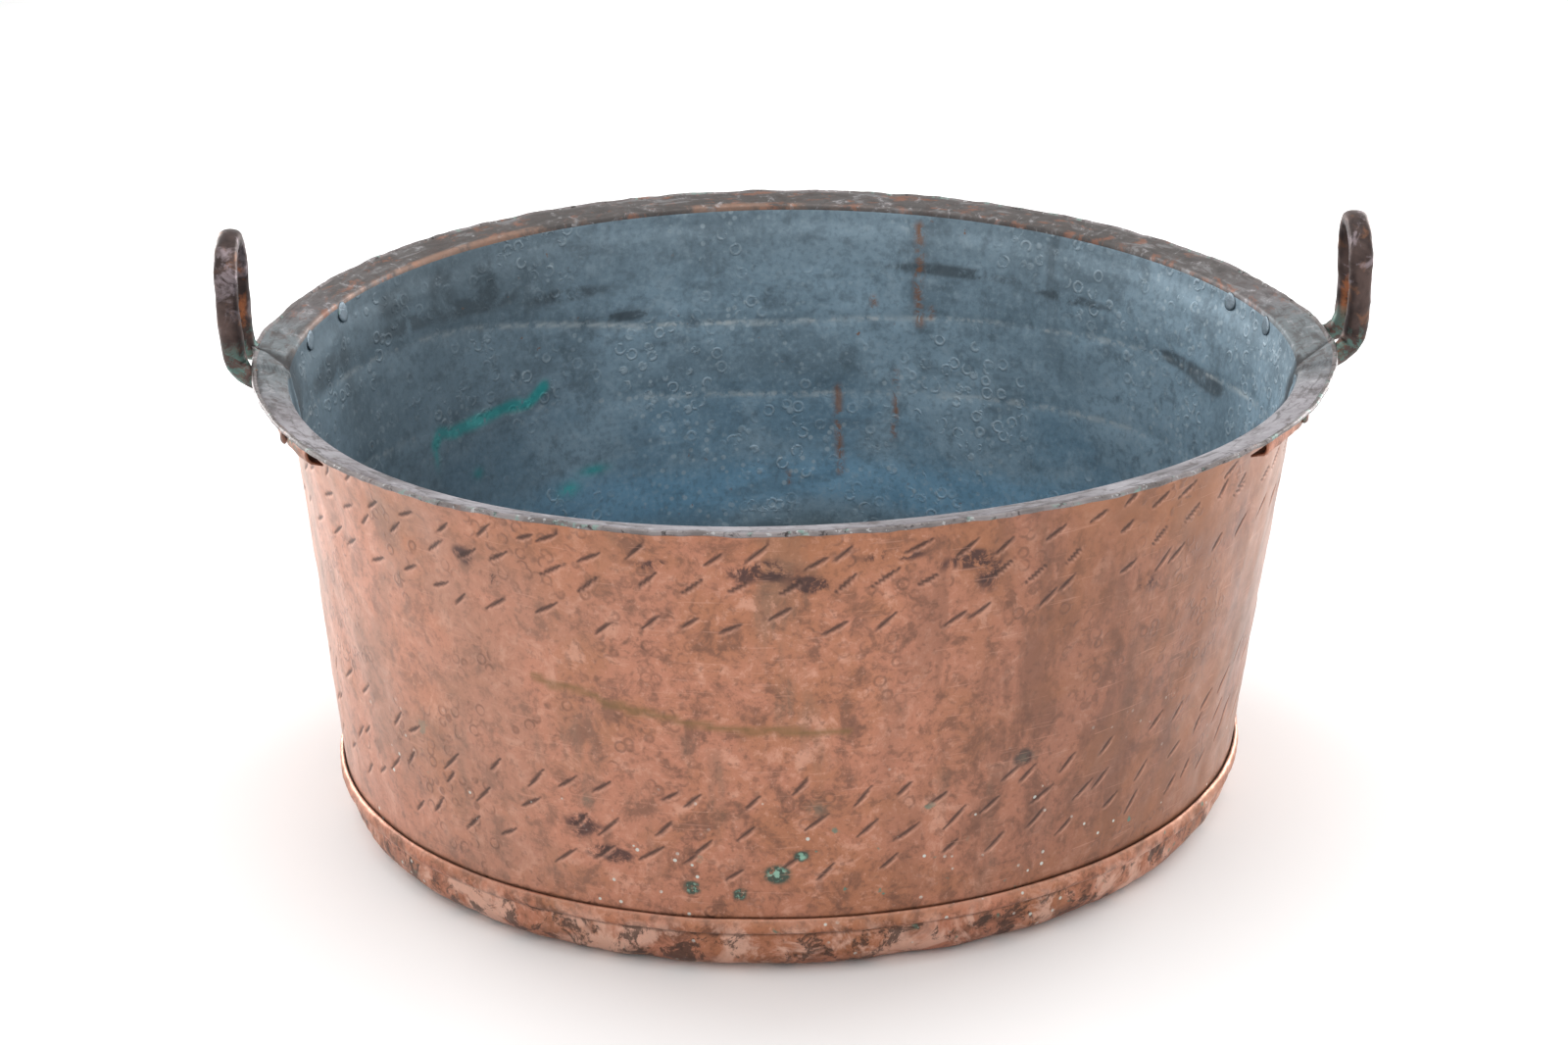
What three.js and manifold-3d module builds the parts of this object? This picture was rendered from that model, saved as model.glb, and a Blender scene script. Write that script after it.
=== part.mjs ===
// Large round copper vat with a tinned inside, two lapped wall sheets, a base pan and two riveted lifting ears.
// Millimetres, +Z up. The origin is on the ground at the centre of the base, and the ears stand on the X axis.
// Angles are in degrees, counted from +X towards +Y.
import * as THREE from "three";
import { mergeVertices } from "three/addons/utils/BufferGeometryUtils.js";
import Module from "manifold-3d";

const wasm = await Module();
wasm.setup();

// ---------- driving dimensions ----------
const SHEET = 2; // thickness of the wall and base sheets
const GAP = 0.3; // clearance between touching pieces
const ROUND_STEPS = 72; // facets around the vat, the same on every turned piece
const RIVET_STEPS = 12;

const RIM_RADIUS = 400;
const RIM_HEIGHT = 350;
const RIM_HEM = 3.4; // thickness of the folded outer edge of the rim
const HEM_WIDTH = 8.2; // the fold's width across the rim
const HEM_BEVEL = 1; // worn corners of the fold
const FLANGE_RISE = 3; // the outer edge stands this much above the inner bend

const WALL_TOP_RADIUS = 376; // outside of the wall just under the rim
const WALL_SHOULDER_RADIUS = 370; // outside of the wall where the flare begins
const WALL_SHOULDER_HEIGHT = 303;
const RIM_BEND = 5; // radius of the bend between wall and rim

const BASE_RADIUS = 342; // outside of the base pan below its belt
const BASE_CORNER = 20; // corner radius of the base pan
const BELT_RADIUS = 346.6;
const BELT_BOTTOM = 32;
const BELT_TOP = 44;
const BELT_SHOULDER = 1; // half height of the slanting step between the pan's side and its belt
const SIDE_FLARE = 1; // the pan's side leans out by this much above its corner

const LAP_START = -0.6; // degrees, towards the front of each ear, where the rear sheet ends
const LAP_WIDTH = 3.6; // degrees of wall that lie double at each ear
const STEP_WIDTH = 1.2; // degrees: the step that carries the front sheet's tab inwards
const LAP_SLIT = 0.05; // degrees, about GAP at the wall

const EAR_RADIUS = 415.5; // middle of the upright bar
const EAR_DEPTH = 17; // bar, across the rim
const EAR_BAR = 14; // bar, along the rim
const EAR_BEVEL = 3; // worn edges of the bar
const EAR_LEG_SPREAD = 58; // leg middle to leg middle
const EAR_TOP = 443;
const EAR_BEND_HEIGHT = 366; // the legs are upright above this height
const EAR_FOOT_BOTTOM = 339.6; // the flattened foot of each leg passes under the rim
const EAR_FOOT_TOP = 345;
const FOOT_OVERLAP = 4; // the foot reaches this far into the bar above it and into the arm
const ARM_BOTTOM = 328.9;
const ARM_TOP = 340.6;
const ARM_OUTER = 386;
const ARM_END = 26; // degrees from the ear's middle
const ARM_CUT_DEPTH = 4.6; // the arm's upper inner corner is cut away where the rim bends out
const ARM_CUT_HEIGHT = 6;

const STRAP_SHEET = 1.6;
const STRAP_OUTER = 389.2;
const STRAP_BOTTOM = 326.6;
const STRAP_BEVEL = 2; // outer lower corner
const STRAP_START = 7.6; // degrees from the ear's middle
const STRAP_END = 29;

const RIVET_ANGLES = [-21.5, -11.2, 11.2, 21.5]; // degrees from the ear's middle
const RIVET_HEIGHT = 334.8;
const RIVET_SHANK = 6; // diameter
const RIVET_INNER_HEAD = 15; // diameter
const RIVET_OUTER_HEAD = 10; // diameter
const RIVET_HEAD_HEIGHT = 2.4;
const RIVET_HEAD_SHAPE = [[1, 0], [0.92, 0.45], [0.56, 0.88], [0, 1]]; // shares of the head's radius and height
const RIVET_SEAT = 1.6; // a flat inner head keeps this from the curved and tapering wall

// ---------- materials ----------
const copper = new THREE.MeshStandardMaterial({ color: 0xb4714f, roughness: 0.42, metalness: 0.9 });
const tinned = new THREE.MeshStandardMaterial({ color: 0x6d7f8d, roughness: 0.6, metalness: 0.7 });
const forged = new THREE.MeshStandardMaterial({ color: 0x5b4642, roughness: 0.5, metalness: 0.8 });

// ---------- helpers ----------
const radians = THREE.MathUtils.degToRad;
const point = (radius, height) => new THREE.Vector2(radius, height);

function toSolid(geometry) {
  const bare = geometry.index ? geometry.toNonIndexed() : geometry.clone();
  for (const name of Object.keys(bare.attributes)) {
    if (name !== "position") {
      bare.deleteAttribute(name);
    }
  }
  const merged = mergeVertices(bare, 1e-4);
  const kept = [];
  const index = merged.index.array;
  for (let i = 0; i < index.length; i += 3) {
    const [a, b, c] = [index[i], index[i + 1], index[i + 2]];
    if (a !== b && b !== c && c !== a) {
      kept.push(a, b, c);
    }
  }
  const vertProperties = Float32Array.from(merged.attributes.position.array);
  return new wasm.Manifold(new wasm.Mesh({ numProp: 3, vertProperties, triVerts: Uint32Array.from(kept) }));
}

function toGeometry(solid) {
  const mesh = solid.getMesh();
  const geometry = new THREE.BufferGeometry();
  geometry.setAttribute("position", new THREE.BufferAttribute(Float32Array.from(mesh.vertProperties), 3));
  geometry.setIndex(Array.from(mesh.triVerts));
  const faceted = geometry.toNonIndexed();
  faceted.computeVertexNormals();
  return faceted;
}

// A full ring turned about Z from a closed outline of (radius, height) points, listed counter-clockwise.
function turnedRing(outline) {
  const geometry = new THREE.LatheGeometry([...outline, outline[0]], ROUND_STEPS);
  geometry.rotateX(Math.PI / 2);
  return toSolid(geometry);
}

// A turned solid whose outline starts and ends on the Z axis.
function turnedSolid(outline) {
  const geometry = new THREE.LatheGeometry(outline, ROUND_STEPS);
  geometry.rotateX(Math.PI / 2);
  return toSolid(geometry);
}

// Everything between two angles, as tall and wide as the vat needs.
function wedge(from, to) {
  const reach = RIM_RADIUS * 2;
  const corners = Math.ceil((to - from) / 30);
  const outline = new THREE.Shape();
  outline.moveTo(0, 0);
  for (let i = 0; i <= corners; i += 1) {
    const angle = radians(from + ((to - from) * i) / corners);
    outline.lineTo(reach * Math.cos(angle), reach * Math.sin(angle));
  }
  outline.closePath();
  return toSolid(new THREE.ExtrudeGeometry(outline, { depth: RIM_RADIUS * 2, bevelEnabled: false }));
}

// A quarter or smaller arc as a list of (radius, height) points, from one angle to another.
function arc(centreRadius, centreHeight, size, from, to, steps) {
  return Array.from({ length: steps + 1 }, (_, i) => {
    const angle = radians(from + ((to - from) * i) / steps);
    return point(centreRadius + size * Math.cos(angle), centreHeight + size * Math.sin(angle));
  });
}

// ---------- wall sheets ----------
// Middle line of the wall sheet, from the foot in the base pan up to the outer edge of the rim.
function wallMiddleLine() {
  const half = SHEET / 2;
  const footRadius = BELT_RADIUS - SHEET - GAP - half;
  const bendHeight = RIM_HEIGHT - FLANGE_RISE - half - RIM_BEND;
  return [
    point(footRadius, BELT_BOTTOM + SHEET + GAP),
    point(footRadius, BELT_TOP + half),
    point(WALL_SHOULDER_RADIUS - half, WALL_SHOULDER_HEIGHT),
    point(WALL_TOP_RADIUS - half, bendHeight - 2 * RIM_BEND),
    ...arc(WALL_TOP_RADIUS - half + RIM_BEND, bendHeight, RIM_BEND, 180, 100, 3),
    point(RIM_RADIUS - 2 * RIM_HEM, RIM_HEIGHT - 1.5 * half),
    point(RIM_RADIUS, RIM_HEIGHT - half),
  ];
}

// Closed outline of a sheet that runs beside the middle line, between two distances from it.
// Positive distances lie on the outer and lower face, negative ones on the inner and upper face.
function besideMiddleLine(inner, outer) {
  const line = wallMiddleLine();
  const side = (distance) =>
    line.map((here, i) => {
      const before = line[Math.max(i - 1, 0)];
      const after = line[Math.min(i + 1, line.length - 1)];
      const along = after.clone().sub(before).normalize();
      return point(here.x + along.y * distance, here.y - along.x * distance);
    });
  return [...side(outer), ...side(inner).reverse()];
}

// The folded outer edge of the rim, as a bead that thickens the flange downwards.
function rimHem() {
  const inner = RIM_RADIUS - HEM_WIDTH;
  const middle = RIM_HEIGHT - SHEET / 2;
  return turnedRing([
    point(inner, middle - RIM_HEM),
    point(RIM_RADIUS - HEM_BEVEL, middle - RIM_HEM),
    point(RIM_RADIUS, middle - RIM_HEM + HEM_BEVEL),
    point(RIM_RADIUS, RIM_HEIGHT - HEM_BEVEL),
    point(RIM_RADIUS - HEM_BEVEL, RIM_HEIGHT),
    point(inner, middle),
  ]);
}

function rivetDirection(side, angle) {
  return side === "right" ? angle : 180 - angle;
}

// Placed on the rivet line of an ear: turns a solid that points along +X to the rivet's angle.
function atRivet(solid, side, angle) {
  return solid.rotate([0, 0, rivetDirection(side, angle)]).translate([0, 0, RIVET_HEIGHT]);
}

function rivetHole(side, angle) {
  const depth = 60;
  const radius = RIVET_SHANK / 2 + GAP;
  const hole = new THREE.CylinderGeometry(radius, radius, depth, RIVET_STEPS);
  hole.rotateZ(Math.PI / 2);
  hole.translate(WALL_TOP_RADIUS, 0, 0);
  return atRivet(toSolid(hole), side, angle);
}

const rivetHoles = ["left", "right"].flatMap((side) => RIVET_ANGLES.map((angle) => rivetHole(side, angle)));
const drilled = (solid) => rivetHoles.reduce((rest, hole) => rest.subtract(hole), solid);

const plainWall = turnedRing(besideMiddleLine(-SHEET / 2, SHEET / 2)).add(rimHem());
const lapTab = turnedRing(besideMiddleLine(-SHEET * 1.5 - GAP, -SHEET / 2 - GAP));
const joggleStep = turnedRing(besideMiddleLine(-SHEET * 1.5 - GAP, SHEET / 2));

function rearSheet() {
  return drilled(plainWall.intersect(wedge(LAP_START + LAP_SLIT, 180 - LAP_START - LAP_SLIT)));
}

// The front sheet steps inwards at both ends, and its tabs lie inside the ends of the rear sheet.
function frontSheet() {
  const stepStart = LAP_START - STEP_WIDTH;
  const tabEnd = LAP_START + LAP_WIDTH;
  let sheet = plainWall.intersect(wedge(180 - LAP_START, 360 + LAP_START));
  for (const end of [wedge(stepStart, tabEnd), wedge(180 - tabEnd, 180 - stepStart)]) {
    sheet = sheet.add(lapTab.intersect(end));
  }
  for (const end of [wedge(stepStart, LAP_START), wedge(180 - LAP_START, 180 - stepStart)]) {
    sheet = sheet.add(joggleStep.intersect(end));
  }
  return drilled(sheet);
}

// ---------- base pan ----------
// The pan's side steps outwards into a belt that holds the foot of the wall.
function basePan() {
  const floorEdge = BASE_RADIUS - BASE_CORNER;
  const outer = [
    ...arc(floorEdge - SIDE_FLARE, BASE_CORNER, BASE_CORNER, -90, 0, 5),
    point(BASE_RADIUS, BELT_BOTTOM - BELT_SHOULDER),
    point(BELT_RADIUS, BELT_BOTTOM + BELT_SHOULDER),
    point(BELT_RADIUS, BELT_TOP),
  ];
  const inner = [
    point(BELT_RADIUS - SHEET, BELT_TOP),
    point(BELT_RADIUS - SHEET, BELT_BOTTOM + SHEET),
    point(BASE_RADIUS - SHEET, BELT_BOTTOM + BELT_SHOULDER / 2),
    ...arc(floorEdge - SIDE_FLARE, BASE_CORNER, BASE_CORNER - SHEET, 0, -90, 5),
  ];
  return turnedSolid([point(0, 0), ...outer, ...inner, point(0, SHEET)]);
}

// ---------- ears ----------
// Upright loop in the YZ plane: two legs joined by a round top.
function earLoop() {
  const outerHalf = (EAR_LEG_SPREAD + EAR_BAR) / 2;
  const innerHalf = (EAR_LEG_SPREAD - EAR_BAR) / 2;
  const crown = EAR_TOP - outerHalf;
  const outline = new THREE.Shape();
  outline.moveTo(outerHalf, EAR_BEND_HEIGHT);
  outline.lineTo(outerHalf, crown);
  outline.absarc(0, crown, outerHalf, 0, Math.PI, false);
  outline.lineTo(-outerHalf, EAR_BEND_HEIGHT);
  outline.lineTo(-innerHalf, EAR_BEND_HEIGHT);
  outline.lineTo(-innerHalf, crown);
  outline.absarc(0, crown, innerHalf, Math.PI, 0, true);
  outline.lineTo(innerHalf, EAR_BEND_HEIGHT);
  outline.closePath();
  const loop = new THREE.ExtrudeGeometry(outline, {
    depth: EAR_DEPTH - 2 * EAR_BEVEL,
    curveSegments: 10,
    bevelSize: EAR_BEVEL,
    bevelOffset: -EAR_BEVEL,
    bevelThickness: EAR_BEVEL,
    bevelSegments: 1,
  });
  loop.rotateX(Math.PI / 2);
  loop.rotateZ(Math.PI / 2);
  loop.translate(EAR_RADIUS - EAR_DEPTH / 2 + EAR_BEVEL, 0, 0);
  return toSolid(loop);
}

// Each leg bends inwards below the rim and reaches the wall.
function earLegFoot(side) {
  const outside = EAR_RADIUS + EAR_DEPTH / 2;
  const inside = EAR_RADIUS - EAR_DEPTH / 2;
  const outline = new THREE.Shape();
  outline.moveTo(outside, EAR_BEND_HEIGHT + FOOT_OVERLAP);
  outline.lineTo(outside, EAR_BEND_HEIGHT);
  outline.quadraticCurveTo(outside, EAR_FOOT_TOP, RIM_RADIUS, EAR_FOOT_BOTTOM);
  outline.lineTo(ARM_OUTER, ARM_BOTTOM);
  outline.lineTo(ARM_OUTER - FOOT_OVERLAP, ARM_BOTTOM);
  outline.lineTo(ARM_OUTER - FOOT_OVERLAP, ARM_TOP);
  outline.lineTo(RIM_RADIUS - HEM_WIDTH, EAR_FOOT_TOP - GAP);
  outline.lineTo(RIM_RADIUS, EAR_FOOT_TOP);
  outline.quadraticCurveTo(inside, EAR_FOOT_TOP + FOOT_OVERLAP, inside, EAR_BEND_HEIGHT + FOOT_OVERLAP);
  outline.closePath();
  const foot = new THREE.ExtrudeGeometry(outline, { depth: EAR_BAR, curveSegments: 8, bevelEnabled: false });
  foot.rotateX(Math.PI / 2);
  foot.translate(0, (side * EAR_LEG_SPREAD) / 2 + EAR_BAR / 2, 0);
  return toSolid(foot);
}

// Flat arms run from the legs along the wall, under the rim.
function earArms() {
  const wallFace = WALL_TOP_RADIUS + GAP;
  const ring = turnedRing([
    point(wallFace, ARM_BOTTOM),
    point(ARM_OUTER, ARM_BOTTOM),
    point(ARM_OUTER, ARM_TOP),
    point(wallFace + ARM_CUT_DEPTH, ARM_TOP),
    point(wallFace, ARM_TOP - ARM_CUT_HEIGHT),
  ]);
  const legStart = THREE.MathUtils.radToDeg(Math.atan2((EAR_LEG_SPREAD - EAR_BAR) / 2, ARM_OUTER));
  return [wedge(legStart, ARM_END), wedge(-ARM_END, -legStart)].map((part) => ring.intersect(part));
}

const turnedToSide = (solid, side) => (side === "right" ? solid : solid.rotate([0, 0, 180]));

function ear(side) {
  const [rearArm, frontArm] = earArms();
  const whole = earLoop().add(earLegFoot(1)).add(earLegFoot(-1)).add(rearArm).add(frontArm);
  return drilled(turnedToSide(whole, side));
}

// ---------- ear straps ----------
// A bent strip that hangs outside an arm and closes under it against the wall.
function earStrap(side, end) {
  const wallFace = WALL_TOP_RADIUS + GAP;
  const strapTop = ARM_TOP + GAP;
  const ring = turnedRing([
    point(wallFace, STRAP_BOTTOM),
    point(STRAP_OUTER - STRAP_BEVEL, STRAP_BOTTOM),
    point(STRAP_OUTER, STRAP_BOTTOM + STRAP_BEVEL),
    point(STRAP_OUTER, strapTop),
    point(STRAP_OUTER - STRAP_SHEET, strapTop),
    point(STRAP_OUTER - STRAP_SHEET, STRAP_BOTTOM + STRAP_SHEET),
    point(wallFace, STRAP_BOTTOM + STRAP_SHEET),
  ]);
  const towardsRear = (end === "rear") === (side === "right");
  const span = towardsRear ? wedge(STRAP_START, STRAP_END) : wedge(-STRAP_END, -STRAP_START);
  return drilled(turnedToSide(ring.intersect(span), side));
}

// ---------- rivets ----------
// One rivet along +X: a broad low head inside the vat, the shank, and a small head outside the strap.
function rivet(side, angle) {
  const innerFace = WALL_TOP_RADIUS - SHEET - RIVET_SEAT;
  const outerFace = STRAP_OUTER + GAP;
  const dome = (size) =>
    RIVET_HEAD_SHAPE.map(([radiusShare, riseShare]) => [(radiusShare * size) / 2, riseShare * RIVET_HEAD_HEIGHT]);
  const outline = [
    ...dome(RIVET_INNER_HEAD).reverse().map(([radius, rise]) => point(radius, innerFace - rise)),
    point(RIVET_SHANK / 2, innerFace),
    point(RIVET_SHANK / 2, outerFace),
    ...dome(RIVET_OUTER_HEAD).map(([radius, rise]) => point(radius, outerFace + rise)),
  ];
  const turned = new THREE.LatheGeometry(outline, RIVET_STEPS);
  turned.rotateZ(-Math.PI / 2);
  return atRivet(toSolid(turned), side, angle);
}

// ---------- assembly ----------
const vat = new THREE.Group();

function place(name, solid, material) {
  const mesh = new THREE.Mesh(toGeometry(solid), material);
  mesh.name = name;
  vat.add(mesh);
}

place("wall_sheet_front", frontSheet(), copper);
place("wall_sheet_rear", rearSheet(), tinned);
place("base_pan", basePan(), copper);
for (const side of ["left", "right"]) {
  place(`ear_${side}`, ear(side), forged);
  for (const end of ["front", "rear"]) {
    place(`ear_strap_${side}_${end}`, earStrap(side, end), copper);
  }
  RIVET_ANGLES.forEach((angle, i) => place(`rivet_${side}_${i + 1}`, rivet(side, angle), forged));
}

export default vat;
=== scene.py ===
"""Looks for the large hammered copper vat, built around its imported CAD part.

Metres, +Z up, with the ears on the X axis. Angles are in degrees from +X towards +Y, so the front is at 270.
"""

import math

import bpy
import numpy as np
from mathutils import Matrix, Vector


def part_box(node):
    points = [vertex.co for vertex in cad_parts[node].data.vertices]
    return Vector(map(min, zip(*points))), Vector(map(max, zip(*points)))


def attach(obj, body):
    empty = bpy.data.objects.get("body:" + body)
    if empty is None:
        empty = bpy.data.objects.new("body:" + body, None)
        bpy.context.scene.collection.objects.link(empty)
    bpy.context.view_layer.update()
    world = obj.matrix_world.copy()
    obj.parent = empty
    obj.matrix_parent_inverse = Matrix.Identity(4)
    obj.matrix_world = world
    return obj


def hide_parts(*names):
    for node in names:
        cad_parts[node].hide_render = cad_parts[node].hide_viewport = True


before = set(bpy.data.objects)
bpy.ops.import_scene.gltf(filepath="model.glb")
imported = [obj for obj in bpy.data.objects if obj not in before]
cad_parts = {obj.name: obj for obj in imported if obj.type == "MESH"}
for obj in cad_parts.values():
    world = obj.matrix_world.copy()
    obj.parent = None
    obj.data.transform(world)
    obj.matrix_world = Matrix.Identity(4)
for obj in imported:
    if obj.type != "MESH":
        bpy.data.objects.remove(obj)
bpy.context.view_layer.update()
MM = 0.001

# ---------- driving dimensions ----------
RIM_RADIUS = 0.400
RIM_HEIGHT = 0.350
SHEET = 2.0 * MM
GAP = 0.3 * MM

FOOT_BOTTOM = 0.0365  # the wall stands on the step inside the belt
WALL_TOP = 0.331  # the rim begins to bend out above this height
WALL_MIDDLE = 0.36  # mean radius of the wall, for distances along it
BASE_LEAN = -5.6 * MM  # the base sits this far off the middle of the rim, along X

# outside of the wall: height, radius
WALL_HEIGHTS = [0.030, 0.0455, 0.303, 0.318, 0.331]
WALL_RADII = [0.3425, 0.3425, 0.3702, 0.3718, 0.3745]

# section of the rim: (radius, height) under the flange, round the hem, over the top and down inside
RIM_UNDERSIDE = [(0.3757, 0.3370), (0.3772, 0.3405), (0.3800, 0.3425), (0.3860, 0.3440), (0.3920, 0.3453),
                 (0.3960, 0.3461)]
RIM_HEM = [(0.3984, 0.3462), (0.3996, 0.3469), (0.4000, 0.3480), (0.3999, 0.3490), (0.3992, 0.3498),
           (0.3982, 0.3500), (0.3973, 0.3497), (0.3967, 0.3488)]
RIM_TOP = [(0.3961, 0.3488), (0.3950, 0.3493), (0.3925, 0.3488), (0.3900, 0.3482), (0.3875, 0.3477),
           (0.3850, 0.3471), (0.3825, 0.3465), (0.3800, 0.3459), (0.3775, 0.3453), (0.3757, 0.3447),
           (0.3744, 0.3438), (0.3737, 0.3425)]
RIM_INSIDE = [(0.3732, 0.3400), (0.3728, 0.3370)]

FRONT_COLUMNS = 530
REAR_COLUMNS = 450

# where the two wall sheets lap: the front sheet steps inwards and its tabs lie inside the rear sheet
REAR_RIGHT_END = -9.7
REAR_LEFT_END = 185.2
STEP_RIGHT = (349.6, 350.6)  # the front sheet's step at the right ear
STEP_LEFT = (184.0, 185.0)
TAB_LIFT = SHEET + GAP
TAB_THINNING = 0.7  # share of its lift that a tab on the rim loses towards its end
TAB_THIN_ANGLE = 2.4
TAB_TURN_ROWS = 3  # so many rows before the hem's last one already belong to the top of a tab
TAB_SEAT = [(0.374, 0.3447), (0.380, 0.3459), (0.395, 0.3497), (0.400, 0.3503)]  # flange below: radius, height
# end of each tab: on the flange by radius, on the wall by height
FLANGE_FROM_RADIUS = 0.3765
FLANGE_FROM_HEIGHT = 0.3385
TAB_RIGHT_FLANGE = [(0.374, 351.7), (0.400, 358.6)]
TAB_RIGHT_WALL = [(0.27, 361.6), (0.285, 361.0), (0.305, 355.3), (0.345, 351.7)]
TAB_LEFT_FLANGE = [(0.374, 182.6), (0.400, 177.5)]
TAB_LEFT_WALL = [(0.27, 179.0), (0.31, 180.3), (0.345, 182.6)]

# slanting hammer marks
PEEN_ROWS = [0.322, 0.303, 0.272, 0.141, 0.112, 0.085]
PEEN_SPACING = 0.034
PEEN_DEPTH = 0.70 * MM
PEEN_HALF_WIDTH = 1.9 * MM
PEEN_REACH = 0.013  # no mark goes further than this from its middle
DENTS = 46

# seams of hammering round the inside of the wall: (angle, height)
UPPER_CREASE = [(0, 0.275), (29, 0.268), (64, 0.256), (92, 0.246), (110, 0.252), (135, 0.278), (146, 0.284),
                (180, 0.288)]
LOWER_CREASE = [(0, 0.200), (40, 0.196), (90, 0.184), (120, 0.196), (142, 0.208), (180, 0.215)]
OUTER_CREASE = [(248.5, 0.204), (247.5, 0.149)]

PAN_RADIUS = 0.3393
PAN_CORNER = 0.0203
BELT_RADIUS = 0.3468
BELT_BOTTOM = 0.0335
BELT_TOP = 0.0452
PAN_COLUMNS = 720

EAR_CENTRES = {"right": 0.4198, "left": 0.4122}  # middle of the upright bar
EAR_TURN = {"right": 0.0, "left": 180.0}
EAR_HALF_SPREAD = 0.029
EAR_ARCH_HEIGHT = 0.4072
EAR_SIDES = 28
EAR_STEP = 0.0022  # along the bar
EAR_ROUNDING = 0.80  # below 1 fills the corners of the bar's oval section
ARM_END = 26.0
ARM_START = 8.2
STRAP_START = 7.6
STRAP_END = {"right": 32.0, "left": 28.4}
STRAP_TOP = 0.3420
STRAP_BOTTOM = 0.3262
STRAP_WIDTH = 12.9 * MM
STRAP_SHEET = 1.6 * MM
STRAP_COLUMNS = 70
SEAT = 1.2 * MM  # between the wall at WALL_TOP and what lies against it
RIVET_HEIGHT = 0.3348
RIVET_SIDES = 28
RIVET_SHANK = 3.0 * MM
INNER_SLOPE = 0.17  # the wall flares by this much where the inner heads lie on it
# ---------- end of driving dimensions ----------


# ---------- small tools ----------
def smooth(low, high, value):
    """0 below low, 1 above high, with an easy curve between."""
    t = np.clip((np.asarray(value, float) - low) / (high - low), 0, 1)
    return t * t * (3 - 2 * t)


def bell(distance, half_width, power=2):
    """1 at distance 0, falling off past half_width."""
    return np.exp(-((distance / half_width) ** power))


def ripples(position, wavelength, seed, waves=14):
    """Smooth uneven lumps of about that wavelength, mostly between -1 and 1."""
    chance = np.random.default_rng(seed)
    total = np.zeros(len(position))
    for _ in range(waves):
        direction = chance.normal(size=3)
        direction /= np.linalg.norm(direction)
        length = wavelength * chance.uniform(0.65, 1.5)
        total += np.cos(position @ direction * (2 * math.pi / length) + chance.uniform(0, 2 * math.pi))
    return total / math.sqrt(waves) / 1.2


def lumps(position, *terms):
    """Sum of ripples, each given as a height in mm, a wavelength and a seed."""
    return sum(size * MM * ripples(position, wavelength, seed) for size, wavelength, seed in terms)


def spaced(start, stop, step):
    """Evenly spaced numbers, without the first one."""
    count = max(1, round(abs(stop - start) / step))
    return list(np.linspace(start, stop, count + 1)[1:])


def along_line(value, line):
    return np.interp(value, *zip(*line))


def walked(places):
    """How far along a line of places each one is."""
    return np.concatenate([[0], np.cumsum(np.linalg.norm(np.diff(places, axis=0), axis=1))])


def around(angle, radius):
    return radius * np.cos(np.radians(angle)), radius * np.sin(np.radians(angle))


def outwards_at(angle):
    """Level vectors of length 1 that point away from the vat's axis."""
    return np.stack([*around(angle, 1.0), np.zeros(len(angle))], -1)


def angle_from(angle, middle):
    """Signed angle from middle, in degrees between -180 and 180."""
    return (np.asarray(angle, float) - middle + 180) % 360 - 180


def arc_from(angle, middle, radius=WALL_MIDDLE):
    """Signed distance from the middle angle, round the vat at that radius."""
    return angle_from(angle, middle) * math.pi / 180 * radius


# ---------- how the old vat is out of true ----------
# waves round the vat: how many, and the sizes of the cosine and of the sine, as shares of the rim radius
RIM_BULGE = [(2, 0, -0.0043), (3, 0.0013, -0.0013), (4, 0, -0.0056)]
THROAT_BULGE = [(2, 0.0011, 0.0044), (3, 0.0013, 0)]
BASE_BULGE = [(2, -0.0018, 0.0074)]
RIM_SWAY = [(1, -0.0022, 0), (2, -0.0058, -0.0054), (3, 0.0018, 0)]


def waves(angle, terms):
    a = np.radians(angle)
    return RIM_RADIUS * sum(cosine * np.cos(n * a) + sine * np.sin(n * a) for n, cosine, sine in terms)


def corner_bulge(angle):
    """The flange stands out a little where the sheets lap beside the ears."""
    left = 3.5 * MM * smooth(166, 174, angle % 360) * (1 - smooth(177.5, 179.5, angle % 360))
    from_right = angle_from(angle, 0)
    return left + 3.2 * MM * smooth(-16, -7, from_right) * (1 - smooth(7, 15, from_right))


def out_of_true(angle, radius, height):
    """Turns a point of the perfect vat into x, y, z of the real one."""
    up = smooth(BELT_TOP, WALL_TOP, height)
    flange = smooth(0.375, 0.400, radius)
    throat = smooth(0.28, 0.34, height) * (1 - flange)
    radius = radius + waves(angle, BASE_BULGE) * (1 - up) + waves(angle, RIM_BULGE) * up
    radius = radius + waves(angle, THROAT_BULGE) * throat + corner_bulge(angle) * flange
    height = height + waves(angle, RIM_SWAY) * smooth(0.22, 0.345, height)
    x, y = around(angle, radius)
    return np.stack([x + BASE_LEAN * (1 - height / RIM_HEIGHT), y, height], -1)


def wall_radius(height):
    """Outside of the perfect wall."""
    return np.interp(height, WALL_HEIGHTS, WALL_RADII)


# ---------- hammer work and dents on the wall ----------
def peen_marks():
    """Angle, height, slant and half length of every slanting hammer mark."""
    chance = np.random.default_rng(7)
    marks = []
    for row in PEEN_ROWS:
        count = round(2 * math.pi * wall_radius(row) / PEEN_SPACING)
        steepness = 33 if row > 0.2 else 42
        for k in range(count):
            marks.append((
                360 * (k + chance.uniform(-0.35, 0.35)) / count,
                row + chance.normal(0, 4.5 * MM),
                math.radians(steepness + chance.uniform(-12, 12)),
                chance.uniform(8.5, 12.5) * MM,
            ))
    return marks


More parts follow.
